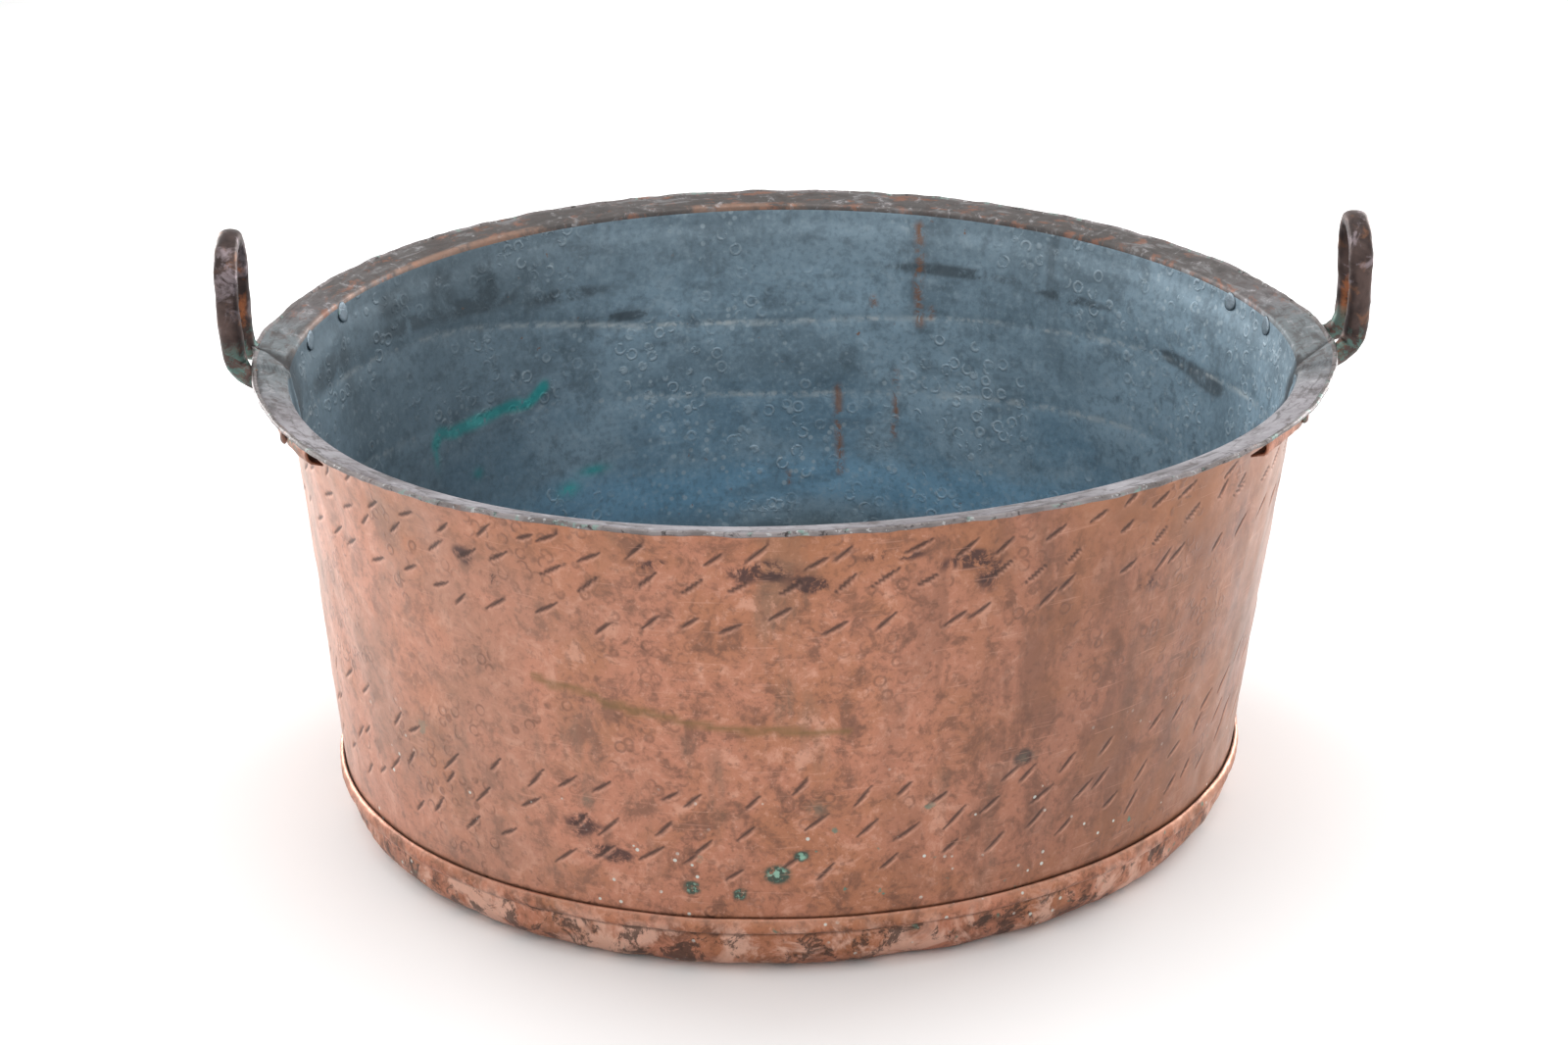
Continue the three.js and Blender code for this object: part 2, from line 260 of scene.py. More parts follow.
def press_peens(angle, height):
    """Depth of the slanting marks, with the masks of their floors, painted as shade, and of their lower lips,
    painted as highlight.
    """
    depth, dark, bright = np.zeros((3, len(angle)))
    order = np.argsort(height)
    sorted_height = height[order]
    for middle, level, slant, half in peen_marks():
        first, last = np.searchsorted(sorted_height, [level - PEEN_REACH, level + PEEN_REACH])
        near = order[first:last]
        across = arc_from(angle[near], middle, wall_radius(level))
        close = np.abs(across) < PEEN_REACH
        near = near[close]
        across = across[close]
        rise = height[near] - level
        along = (across * math.cos(slant) + rise * math.sin(slant)) / half
        side = -across * math.sin(slant) + rise * math.cos(slant)
        width = PEEN_HALF_WIDTH * np.clip(1 - along**2, 0, 1) + 0.1 * MM
        inside = np.clip(1 - (side / width) ** 2, 0, 1) * (np.abs(along) < 1)
        lip = bell(side + width + 0.7 * MM, 0.9 * MM) * np.clip(1.1 - along**2, 0, 1)
        depth[near] -= inside * PEEN_DEPTH
        depth[near] += lip * 0.25 * PEEN_DEPTH
        # the floor of each mark gets painted shade and its lower lip a painted highlight
        dark[near] = np.maximum(dark[near], inside)
        bright[near] = np.maximum(bright[near], lip)
    return depth, dark, bright


def dents(angle, height, position):
    """Broad planished unevenness and a few knocks, as metres outwards."""
    total = lumps(position, (0.45, 0.060, 3), (0.22, 0.024, 4))
    chance = np.random.default_rng(21)
    for _ in range(DENTS):
        middle, level = chance.uniform(0, 360), chance.uniform(0.06, 0.31)
        size, deep = chance.uniform(0.009, 0.024), chance.uniform(-1.1, 0.5) * MM
        total += deep * np.exp(-(arc_from(angle, middle) ** 2 + (height - level) ** 2) / size**2)
    return total


def line_distance(angle, height, points):
    """Distance in metres on the unrolled wall to a bent line of (angle, height) points."""
    best = np.full(len(angle), 1.0)
    for (a0, h0), (a1, h1) in zip(points, points[1:]):
        px, pz = arc_from(angle, a0), height - h0
        dx, dz = arc_from(a1, a0), h1 - h0
        t = np.clip((px * dx + pz * dz) / (dx * dx + dz * dz), 0, 1)
        best = np.minimum(best, np.hypot(px - t * dx, pz - t * dz))
    return best


def creases(angle, height):
    """Shallow bends that show on both faces of the wall."""
    rear = smooth(2, 20, angle % 360) * (1 - smooth(160, 178, angle % 360))
    total = 0.55 * MM * rear * bell(line_distance(angle, height, UPPER_CREASE), 5 * MM)
    total += 0.45 * MM * rear * bell(line_distance(angle, height, LOWER_CREASE), 6 * MM)
    total += 0.5 * MM * bell(line_distance(angle, height, OUTER_CREASE), 2.5 * MM)
    return total


# ---------- meshes ----------
def make_object(name, points, faces, materials, masks, face_materials=None):
    mesh = bpy.data.meshes.new(name)
    mesh.from_pydata([tuple(p) for p in points], [], faces)
    for material in materials:
        mesh.materials.append(material)
    if face_materials is not None:
        mesh.polygons.foreach_set("material_index", np.asarray(face_materials, np.int32))
    mesh.polygons.foreach_set("use_smooth", np.ones(len(mesh.polygons), bool))
    for mask_name, values in masks.items():
        attribute = mesh.attributes.new(mask_name, "FLOAT", "POINT")
        attribute.data.foreach_set("value", np.asarray(values, np.float32))
    mesh.update()
    thing = bpy.data.objects.new(name, mesh)
    bpy.context.scene.collection.objects.link(thing)
    return thing


def strip_faces(rows, columns, closed_rows, closed_columns):
    """Quads of a grid whose point number is row * columns + column, row after row."""
    faces = []
    for row in range(rows if closed_rows else rows - 1):
        here, below = row * columns, (row + 1) % rows * columns
        for column in range(columns if closed_columns else columns - 1):
            right = (column + 1) % columns
            faces.append((here + column, here + right, below + right, below + column))
    return faces


def add_face(faces, corners, flip):
    faces.append(tuple(reversed(corners)) if flip else tuple(corners))


def tube_faces(rows, columns):
    """Faces of a closed tube with a flat cap at each end, turned outwards."""
    faces = [tuple(reversed(face)) for face in strip_faces(rows, columns, False, True)]
    faces.append(tuple(range(columns)))
    faces.append(tuple(reversed(range((rows - 1) * columns, rows * columns))))
    return faces


OUTSIDE, HEM, TOP, INSIDE = range(4)  # surfaces of a wall sheet, in the order of wall_materials


def sheet_rows(outer_heights, inner_heights):
    """Section of a wall sheet as (radius, height, surface), from the foot outside to the foot inside."""
    rows = [(wall_radius(h), h, OUTSIDE) for h in outer_heights]
    for surface, section in ((OUTSIDE, RIM_UNDERSIDE), (HEM, RIM_HEM), (TOP, RIM_TOP), (INSIDE, RIM_INSIDE)):
        rows += [(r, h, surface) for r, h in section]
    return rows + [(wall_radius(h) - SHEET, h, INSIDE) for h in inner_heights]


def tab_row(radius, height, on_top):
    """The same row where the sheet has stepped inwards, or upwards on the flange."""
    flange = float(smooth(0.3745, 0.379, radius)) * float(smooth(0.339, 0.3425, height))
    lifted = float(along_line(radius, TAB_SEAT)) + (TAB_LIFT if on_top else GAP)
    return radius - TAB_LIFT * (1 - flange), height + (lifted - height) * flange


def tab_end(radius, height, by_radius, by_height):
    """Angle at which a tab ends."""
    flange = (radius > FLANGE_FROM_RADIUS) & (height > FLANGE_FROM_HEIGHT)
    return np.where(flange, along_line(radius, by_radius), along_line(height, by_height))


def end_cap(rows, hem_top):
    """Triangles of row numbers that close a sheet's end, zipped between its outer and its inner rows."""
    places = np.array([row[:2] for row in rows])
    outer = np.arange(hem_top + 1)
    inner = np.arange(len(rows) - 1, hem_top, -1)
    outer_run, inner_run = walked(places[outer]), walked(places[inner])
    outer_run /= outer_run[-1]
    inner_run /= inner_run[-1]
    triangles = []
    i = j = 0
    while i < len(outer) - 1 or j < len(inner) - 1:
        if j == len(inner) - 1 or (i < len(outer) - 1 and outer_run[i + 1] <= inner_run[j + 1]):
            triangles.append((outer[i], outer[i + 1], inner[j]))
            i += 1
        else:
            triangles.append((outer[i], inner[j + 1], inner[j]))
            j += 1
    return triangles


def wall_sheet(name, rows, columns, ends, lifts):
    """A closed sheet: ends gives a row's first and last angle, and lifts how far it has stepped inwards."""
    count = len(rows)
    angle, radius, height = np.empty((3, count, columns))
    share = np.linspace(0, 1, columns)
    hem_top = max(i for i, row in enumerate(rows) if row[2] == HEM)
    for i, (r, h, _) in enumerate(rows):
        on_top = i >= hem_top - TAB_TURN_ROWS
        start, stop = ends(r, h)
        angle[i] = start + (stop - start) * share
        lift = lifts(angle[i])
        tab_r, tab_h = tab_row(r, h, on_top)
        if on_top:  # a tab is beaten thin at its end
            thin = smooth(start + TAB_THIN_ANGLE, start, angle[i])
            thin = thin + smooth(stop - TAB_THIN_ANGLE, stop, angle[i])
            lift = lift * (1 - TAB_THINNING * np.minimum(1, lift) * thin)
        radius[i] = r + (tab_r - r) * lift
        height[i] = h + (tab_h - h) * lift
    inner = np.repeat(np.arange(count) > hem_top, columns)
    angle, radius, height = angle.ravel(), radius.ravel(), height.ravel()

    flat = out_of_true(angle, radius, height)
    on_wall = 1 - smooth(0.326, 0.340, height)
    depth, dark, bright = press_peens(angle, height)
    push = on_wall * (dents(angle, height, flat) + creases(angle, height))
    push += depth * np.where(inner, 0.25, 1.0) * on_wall * smooth(0.055, 0.075, height)
    push *= smooth(0.040, 0.060, height)
    outwards = outwards_at(angle)
    points = flat + outwards * push[:, None]

    # the flange was beaten down over a stake, so its top is uneven and its edge waves a little
    flange = smooth(0.376, 0.392, radius) * smooth(0.340, 0.345, height)
    points[:, 2] += flange * lumps(flat, (0.55, 0.045, 31), (0.25, 0.014, 32))
    edge = smooth(0.392, 0.400, radius) * smooth(0.343, 0.346, height)
    points += outwards * (edge * lumps(flat, (0.4, 0.05, 33), (0.14, 0.014, 34)))[:, None]

    faces = strip_faces(count, columns, True, False)
    surfaces = [row[2] for row in rows]
    surfaces[surfaces.index(HEM) - 1] = HEM  # the quads between the underside and the hem
    face_materials = list(np.repeat(surfaces, columns - 1))
    for column, flip in ((0, False), (columns - 1, True)):
        for corners in end_cap(rows, hem_top):
            add_face(faces, [int(row) * columns + column for row in corners], flip)
            face_materials.append(OUTSIDE)
    masks = {"peen_painted_shade": dark * (~inner), "peen_painted_highlight": bright * (~inner)}
    masks.update(stain_masks(angle, height, flat, inner))
    masks["seam_dirt_and_shade"] = seam_dirt_and_shade(angle, radius, height, inner, name.startswith("rear"))
    return make_object(name, points, faces, wall_materials, masks, face_materials)


# ---------- where the stains lie ----------
# dark purple-black scorches, as angle, height, half width and half height
SCORCHES = [(266, 0.311, 0.026, 0.008), (272, 0.301, 0.016, 0.006), (288, 0.309, 0.018, 0.007),
            (291, 0.296, 0.008, 0.014), (233, 0.300, 0.009, 0.007), (237, 0.285, 0.007, 0.006),
            (246, 0.108, 0.016, 0.009), (249, 0.088, 0.018, 0.006), (297, 0.150, 0.008, 0.006),
            (280, 0.318, 0.022, 0.004), (312, 0.262, 0.009, 0.008), (255, 0.315, 0.014, 0.004)]
GREEN_SPOTS = [(268.3, 0.080, 0.009, 0.007), (264, 0.064, 0.005, 0.004), (271, 0.094, 0.005, 0.004),
               (258.5, 0.068, 0.006, 0.005)]
GREY_SPOTS = [(272.8, 0.131, 0.007, 0.006), (246.5, 0.128, 0.005, 0.005), (297, 0.150, 0.008, 0.005)]
TEAL_SPOTS = [(143.6, 0.190, 0.003, 0.012), (136.5, 0.160, 0.005, 0.004), (122, 0.125, 0.010, 0.006),
              (118, 0.137, 0.012, 0.004)]
# dark smears inside, partly painted shade along the upper crease, in the same way
SHADES = [(146, 0.299, 0.050, 0.006), (134, 0.295, 0.050, 0.007), (120, 0.286, 0.040, 0.005),
          (148, 0.320, 0.020, 0.012), (139, 0.318, 0.014, 0.014), (132, 0.312, 0.012, 0.016),
          (23, 0.262, 0.028, 0.008), (31, 0.268, 0.030, 0.006), (50, 0.290, 0.040, 0.004),
          (68, 0.296, 0.065, 0.005), (112, 0.262, 0.030, 0.004), (165, 0.300, 0.040, 0.012)]
# long stains, as (angle, height) points
OLIVE_LINE = [(241, 0.219), (243, 0.214), (246.5, 0.215), (250, 0.207), (254, 0.203), (258.5, 0.199),
              (263, 0.194), (269, 0.192), (276, 0.190)]
TEAL_LINE = [(124.5, 0.216), (127, 0.206), (131, 0.206), (135, 0.203), (139, 0.201), (142.5, 0.203),
             (143.5, 0.196)]
RUST_LINES = [([(72.8, 0.331), (72.4, 0.305), (72.6, 0.280), (72.1, 0.249)], 3.4 * MM),
              ([(83.1, 0.190), (82.8, 0.150), (82.5, 0.118)], 3.2 * MM),
              ([(75.2, 0.205), (75.0, 0.172), (75.3, 0.150)], 2.4 * MM),
              ([(78.6, 0.268), (78.4, 0.262)], 2.5 * MM),
              ([(70.5, 0.262), (70.6, 0.255)], 2.5 * MM),
              ([(90, 0.118), (89.6, 0.108)], 1.6 * MM)]


def spots(angle, height, table):
    """Sum of soft round spots, each an angle, a height, a half width and a half height."""
    return sum(np.exp(-((arc_from(angle, middle) / half_width) ** 2) - ((height - level) / half_height) ** 2)
               for middle, level, half_width, half_height in table)


def stain_masks(angle, height, flat, inner):
    """Masks from 0 to 1 that say where each kind of stain lies."""
    ragged = 0.5 + 0.5 * ripples(flat, 0.018, 41)
    waver = lumps(flat, (1.3, 0.022, 42))
    rust = np.zeros(len(angle))
    for points, half in RUST_LINES:
        rust = np.maximum(rust, bell(line_distance(angle, height, points), half))
    teal = bell(line_distance(angle, height + waver, TEAL_LINE), 5.4 * MM, 4)
    upper = bell(line_distance(angle, height, UPPER_CREASE), 1.8 * MM)
    lower = bell(line_distance(angle, height, LOWER_CREASE), 2.2 * MM)
    outer = ~inner
    return {
        "scorch": np.clip(spots(angle, height, SCORCHES), 0, 1) * outer * (0.45 + 0.55 * ragged),
        "green_spot": np.clip(spots(angle, height, GREEN_SPOTS), 0, 1) * outer,
        "grey_spot": np.clip(spots(angle, height, GREY_SPOTS), 0, 1) * outer,
        "olive_line": bell(line_distance(angle, height + waver, OLIVE_LINE), 2.9 * MM, 4) * outer,
        "shade": np.clip(spots(angle, height, SHADES), 0, 1) * inner,
        "rust": rust * inner,
        "teal": np.maximum(teal, 0.8 * spots(angle, height, TEAL_SPOTS)) * inner,
        "crease_highlight": np.maximum(upper, 0.7 * lower) * inner,
    }


def seam_width(radius, height, rear, left):
    """How far dirt and painted shade reach from a tab's end. The crack at the left ear stands open, so it is
    wider.
    """
    flange = (radius > FLANGE_FROM_RADIUS) & (height > FLANGE_FROM_HEIGHT)
    if rear:
        on_wall = 20 * smooth(0.285, 0.320, height) + 4
        width = np.where(flange, 9.5 - 6.0 * smooth(0.380, 0.396, radius), on_wall)
        return (1.45 if left else 1.0) * MM * width
    if left:
        return MM * np.where(flange, 3.4 - 2.2 * smooth(0.380, 0.394, radius), 9)
    return 0.9 * MM


def seam_dirt_and_shade(angle, radius, height, inner, rear):
    """Dirt and painted shade in the lap seams: how near a point of the sheets is to the edge of a tab."""
    right = arc_from(angle, tab_end(radius, height, TAB_RIGHT_FLANGE, TAB_RIGHT_WALL), radius)
    left = arc_from(angle, tab_end(radius, height, TAB_LEFT_FLANGE, TAB_LEFT_WALL), radius)
    dirt = np.maximum(bell(right, seam_width(radius, height, rear, False), 4),
                      bell(left, seam_width(radius, height, rear, True), 4))
    for step in (STEP_RIGHT, STEP_LEFT):
        dirt = np.maximum(dirt, 0.5 * bell(arc_from(angle, sum(step) / 2, radius), 2.0 * MM))
    above = (radius > RIM_UNDERSIDE[0][0]) & (height > along_line(radius, RIM_UNDERSIDE) + SHEET / 2)
    return dirt * np.where(inner | above, 1.0, 0.08)


# ---------- node tree tools ----------
class Shader:
    """Builds one material, one layer of colour and one layer of bumps over the other."""

    def __init__(self, name, colour):
        self.material = bpy.data.materials.new(name)
        self.material.use_nodes = True
        self.tree = self.material.node_tree
        self.tree.nodes.clear()
        self.surface = self.tree.nodes.new("ShaderNodeBsdfPrincipled")
        output = self.tree.nodes.new("ShaderNodeOutputMaterial")
        self.tree.links.new(self.surface.outputs["BSDF"], output.inputs["Surface"])
        self.place = self.tree.nodes.new("ShaderNodeTexCoord").outputs["Object"]
        parts = self.tree.nodes.new("ShaderNodeSeparateXYZ")
        self.tree.links.new(self.place, parts.inputs[0])
        self.x, self.y, self.z = parts.outputs
        self.radius = self.math("SQRT", self.add(self.times(self.x, self.x), self.times(self.y, self.y)))
        self.colour = colour
        self.normal = None

    def put(self, value, socket):
        if isinstance(value, bpy.types.NodeSocket):
            self.tree.links.new(value, socket)
        elif isinstance(value, tuple) and len(value) == 3 and socket.type == "RGBA":
            socket.default_value = (*value, 1)
        else:
            socket.default_value = value

    def node(self, kind, **values):
        """A new node with these values or links on its sockets; spaces in their names are written as _."""
        node = self.tree.nodes.new("ShaderNode" + kind)
        for socket, value in values.items():
            self.put(value, node.inputs[socket.replace("_", " ")])
        return node

    def math(self, operation, a, b=0.0):
        node = self.node("Math")
        node.operation = operation
        self.put(a, node.inputs[0])
        self.put(b, node.inputs[1])
        return node.outputs[0]

    def add(self, a, b):
        return self.math("ADD", a, b)

    def times(self, first, *others):
        for other in others:
            first = self.math("MULTIPLY", first, other)
        return first

    def fade(self, value, low, high):
        """0 at low and 1 at high, with an easy curve; low may be the larger."""
        node = self.node("MapRange", Value=value, From_Min=low, From_Max=high)
        node.interpolation_type = "SMOOTHSTEP"
        return node.outputs["Result"]

    def scaled(self, z):
        """Place with its height scaled, so that a texture is stretched up the wall or round it."""
        node = self.node("VectorMath")
        node.operation = "MULTIPLY"
        self.put(self.place, node.inputs[0])
        node.inputs[1].default_value = (1.0, 1.0, z)
        return node.outputs[0]

    def wrapped(self, around_scale, out_scale):
        """Place measured round the vat and outwards, so that a texture can be stretched along the rim."""
        turn = self.math("ARCTAN2", self.y, self.x)
        out = self.times(self.radius, out_scale)
        return self.node("CombineXYZ", X=self.times(turn, around_scale), Y=out).outputs[0]

    def noise(self, scale, detail=4.0, roughness=0.55, distortion=0.0, vector=None):
        values = {"Scale": scale, "Detail": detail, "Roughness": roughness, "Distortion": distortion}
        return self.node("TexNoise", Vector=vector or self.place, **values).outputs["Fac"]

    def patches(self, low, high, *noise):
        """Noise with its contrast raised: 0 at low and 1 at high."""
        return self.fade(self.noise(*noise), low, high)

    def cells(self, scale, randomness=1.0, feature="F1"):
        node = self.node("TexVoronoi", Vector=self.place, Scale=scale, Randomness=randomness)
        node.feature = feature
        return node.outputs["Distance"]

    def mask(self, name):
        node = self.node("Attribute")
        node.attribute_name = name
        return node.outputs["Fac"]

    def mix(self, share, a, b):
        node = self.node("Mix")
        node.data_type = "RGBA"
        self.put(share, node.inputs[0])
        self.put(a, node.inputs[6])
        self.put(b, node.inputs[7])
        return node.outputs[2]

    def paint(self, colour, *shares):
        """Lays a colour over what is there, as strongly as the product of the shares says."""
        self.colour = self.mix(self.times(*shares), self.colour, colour)

    def bump(self, height, distance, strength):
        node = self.node("Bump", Strength=strength, Distance=distance, Height=height)
        if self.normal is not None:
            self.put(self.normal, node.inputs["Normal"])
        self.normal = node.outputs["Normal"]

    def finish(self, roughness, metallic, coat=0.0, dull=None):
        if dull is not None:  # dirt hides the metal
            metallic = self.times(self.add(1.0, self.times(dull, -1.0)), metallic)
            roughness = self.add(roughness, dull)
        values = {"Coat Weight": coat, "Coat Roughness": COAT_ROUGHNESS, "Base Color": self.colour,
                  "Roughness": roughness, "Metallic": metallic}
        if self.normal is not None:
            values["Normal"] = self.normal
        for socket, value in values.items():
            self.put(value, self.surface.inputs[socket])
        return self.material


# ---------- materials ----------
COAT_ROUGHNESS = 0.28
SALMON = (0.475, 0.205, 0.130)
PALE_SALMON = (0.62, 0.33, 0.235)
ORANGE_BROWN = (0.36, 0.150, 0.070)
BROWN = (0.165, 0.078, 0.052)
GREY_GREEN = (0.150, 0.125, 0.095)
SCORCHED = (0.055, 0.030, 0.032)
OLIVE = (0.20, 0.115, 0.045)
VERDIGRIS = (0.115, 0.215, 0.165)
TEAL = (0.022, 0.40, 0.40)
BRIGHT_TEAL = (0.060, 0.56, 0.54)
WHITE_CRUST = (0.60, 0.62, 0.57)
RUST = (0.27, 0.115, 0.050)
TIN = (0.275, 0.390, 0.475)
DARK_TIN = (0.165, 0.240, 0.295)
SEAM_BLACK = (0.025, 0.022, 0.022)


def rings(s, scale, randomness, inner, outer):
    """Thin rings, such as a planishing hammer leaves, that fade in and out at their two edges."""
    cells = s.cells(scale, randomness)
    return s.times(s.fade(cells, *inner), s.fade(cells, *outer))


def copper_ground(s):
    """Mottled old copper: large clouds, small mottling and faint vertical wipes."""
    small = s.noise(44.0, 7.0, 0.70, 0.4)
    fine = s.noise(170.0, 5.0, 0.65)
    s.paint(ORANGE_BROWN, s.patches(0.42, 0.62, 9.0, 6.0, 0.65, 0.6), 0.6)
    s.paint(BROWN, s.fade(small, 0.49, 0.64), 0.70)
    s.paint(GREY_GREEN, s.patches(0.54, 0.68, 18.0, 5.0, 0.65, 0.0, s.scaled(0.25)), 0.45)
    s.paint(PALE_SALMON, s.fade(small, 0.47, 0.33), 0.7)
    s.paint(BROWN, s.fade(fine, 0.52, 0.66), 0.50)
    s.paint(PALE_SALMON, s.fade(fine, 0.44, 0.32), 0.45)
    return small, fine


def crust(s, low_share):
    """White and green specks, mostly where low_share is near 1."""
    s.paint(WHITE_CRUST, s.fade(s.cells(95.0), 0.16, 0.10), s.patches(0.52, 0.60, 30.0, 2.0), low_share)
    s.paint(VERDIGRIS, s.patches(0.66, 0.72, 70.0, 3.0), s.patches(0.50, 0.60, 9.0, 2.0), low_share)


def hammered_outside():
    s = Shader("hammered_outside", SALMON)
    small, fine = copper_ground(s)

    # more grey-green on the left and more orange under the rim; the left side is also painted lighter, as
    # painted light, and the right side darker in brown, brown streaks and orange patches, as painted shade
    # mixed with streaky colour
    s.paint(GREY_GREEN, s.fade(s.x, -0.02, -0.34), s.patches(0.42, 0.60, 11.0, 4.0, 0.6, 0.3), 0.40)
    s.paint(PALE_SALMON, s.fade(s.x, -0.05, -0.25), 0.22)
    s.paint(BROWN, s.fade(s.x, 0.04, 0.22), 0.45)
    streaks = s.patches(0.46, 0.60, 24.0, 6.0, 0.70, 0.3, s.scaled(0.35))
    s.paint(BROWN, s.fade(s.x, 0.00, 0.16), streaks, 0.60)
    s.paint(ORANGE_BROWN, s.fade(s.x, 0.05, 0.30), s.patches(0.40, 0.62, 9.0, 4.0, 0.6, 0.3), 0.50)
    s.paint(ORANGE_BROWN, s.fade(s.z, 0.27, 0.34), s.patches(0.35, 0.60, 14.0, 4.0, 0.6), 0.5)

    # planishing rings
    ring = s.times(rings(s, 95.0, 0.9, (0.24, 0.36), (0.52, 0.40)), s.patches(0.42, 0.58, 75.0, 3.0),
                   s.patches(0.46, 0.60, 13.0, 3.0, 0.6))
    s.paint(BROWN, ring, 0.55)

    scorch = s.times(s.fade(s.mask("scorch"), 0.10, 0.50), s.patches(0.42, 0.54, 70.0, 6.0, 0.72, 0.5))
    s.paint(SCORCHED, scorch, 0.85)
    s.paint(OLIVE, s.mask("olive_line"), 0.75)
    # painted shade in the floors of the hammer marks and a painted highlight on their lower lips
    s.paint((0.085, 0.042, 0.034), s.mask("peen_painted_shade"), 0.95)
    s.paint(PALE_SALMON, s.mask("peen_painted_highlight"), 0.60)
    crust(s, s.fade(s.z, 0.19, 0.09))
    patchy = s.patches(0.34, 0.50, 120.0, 4.0, 0.7)
    s.paint((0.060, 0.085, 0.065), s.fade(s.mask("green_spot"), 0.12, 0.5), patchy)
    s.paint((0.25, 0.44, 0.34), s.fade(s.mask("green_spot"), 0.35, 0.8), s.patches(0.48, 0.56, 210.0, 3.0))
    s.paint(GREY_GREEN, s.mask("grey_spot"), patchy, 0.8)
    # painted shade and dirt in the lap seams
    s.paint(SCORCHED, s.mask("seam_dirt_and_shade"), 0.85)
    # long thin scratches round the wall
    s.paint(PALE_SALMON, s.patches(0.66, 0.70, 24.0, 2.0, 0.5, 0.0, s.scaled(22.0)), 0.25)

    s.bump(ring, 0.00035, 0.8)
    s.bump(fine, 0.0004, 0.35)
    s.bump(s.noise(45.0, 3.0), 0.0010, 0.45)
    roughness = s.add(s.add(0.36, s.times(small, 0.22)), s.times(scorch, 0.15))
    return s.finish(roughness, 0.82, 0.35, s.times(s.mask("peen_painted_shade"), 0.6))


def tinned_inside():
    s = Shader("tinned_inside", TIN)
    clouds = s.noise(8.0, 5.0, 0.6, 0.4)
    small = s.noise(50.0, 6.0, 0.65, 0.3)
    fine = s.noise(190.0, 4.0, 0.6)
    s.paint(DARK_TIN, s.fade(clouds, 0.38, 0.64))
    s.paint((0.100, 0.145, 0.180), s.fade(small, 0.50, 0.68), 0.60)
    s.paint((0.36, 0.46, 0.53), s.fade(small, 0.46, 0.30), 0.50)

    # level bands: a brighter blue one above a dark one near the floor, and a greyer one under the rim
    level = s.add(s.z, s.times(s.noise(6.0, 3.0), 0.05))
    s.paint((0.20, 0.42, 0.60), s.fade(level, 0.105, 0.125), s.fade(level, 0.165, 0.140), 0.60)
    s.paint((0.19, 0.38, 0.54), s.fade(level, 0.245, 0.190), s.fade(clouds, 0.42, 0.58), 0.32)
    s.paint((0.120, 0.150, 0.155), s.fade(level, 0.110, 0.085), 0.6)
    s.paint((0.26, 0.32, 0.36), s.fade(s.z, 0.27, 0.33), 0.35)

    # dark drips from the rim, level smears, pale scales and fine mottling
    drips = s.patches(0.56, 0.68, 26.0, 4.0, 0.6, 0.0, s.scaled(0.16))
    s.paint((0.085, 0.110, 0.130), drips, s.fade(s.z, 0.20, 0.33), 0.55)
    s.paint((0.080, 0.110, 0.135), s.patches(0.56, 0.68, 13.0, 4.0, 0.6, 0.0, s.scaled(3.2)), 0.30)
    scales = s.fade(s.cells(120.0), 0.32, 0.18)
    s.paint((0.44, 0.53, 0.58), scales, s.patches(0.47, 0.60, 11.0, 5.0, 0.65), 0.62)
    s.paint((0.105, 0.150, 0.180), s.fade(fine, 0.50, 0.64), 0.32)
    s.paint((0.38, 0.48, 0.54), s.fade(fine, 0.46, 0.34), 0.28)

    # pale ring spots
    ring = s.times(rings(s, 75.0, 1.0, (0.20, 0.30), (0.44, 0.34)), s.patches(0.42, 0.54, 85.0, 4.0, 0.65),
                   s.patches(0.44, 0.60, 10.0, 3.0, 0.6))
    s.paint((0.42, 0.50, 0.55), ring, 0.48)

    # dark smears, partly painted shade, inside
    shade = s.fade(s.mask("shade"), 0.10, 0.70)
    s.paint((0.060, 0.078, 0.092), shade, s.patches(0.34, 0.56, 48.0, 5.0, 0.7, 0.4), 0.78)
    broken = s.times(s.patches(0.40, 0.56, 90.0, 4.0, 0.7), s.patches(0.40, 0.56, 9.0, 2.0))
    # painted highlight along the creases inside, broken into dots
    s.paint((0.52, 0.58, 0.60), s.mask("crease_highlight"), broken, 0.85)
    s.paint((0.55, 0.58, 0.58), s.fade(s.cells(110.0, 0.6), 0.36, 0.22), s.mask("crease_highlight"), 0.6)
    s.paint(RUST, s.mask("rust"), s.patches(0.44, 0.54, 95.0, 6.0, 0.75, 0.6), 0.85)
    s.paint(RUST, s.patches(0.70, 0.75, 130.0, 3.0), s.patches(0.50, 0.58, 7.0, 2.0), 0.8)
    teal = s.mix(s.fade(small, 0.56, 0.42), TEAL, BRIGHT_TEAL)
    s.paint(teal, s.mask("teal"), s.patches(0.30, 0.46, 80.0, 4.0, 0.7))
    # painted shade and dirt in the lap seams
    s.paint((0.03, 0.03, 0.032), s.mask("seam_dirt_and_shade"), 0.85)
    # the side towards the left ear is painted darker, as painted shade
    s.paint((0.070, 0.094, 0.110), s.fade(s.x, -0.10, -0.32), 0.62)

    s.bump(ring, 0.0005, 0.8)
    s.bump(s.noise(60.0, 3.0), 0.0010, 0.5)
    s.bump(fine, 0.0003, 0.4)
    return s.finish(s.add(0.50, s.times(small, 0.22)), 0.42, dull=s.mask("seam_dirt_and_shade"))


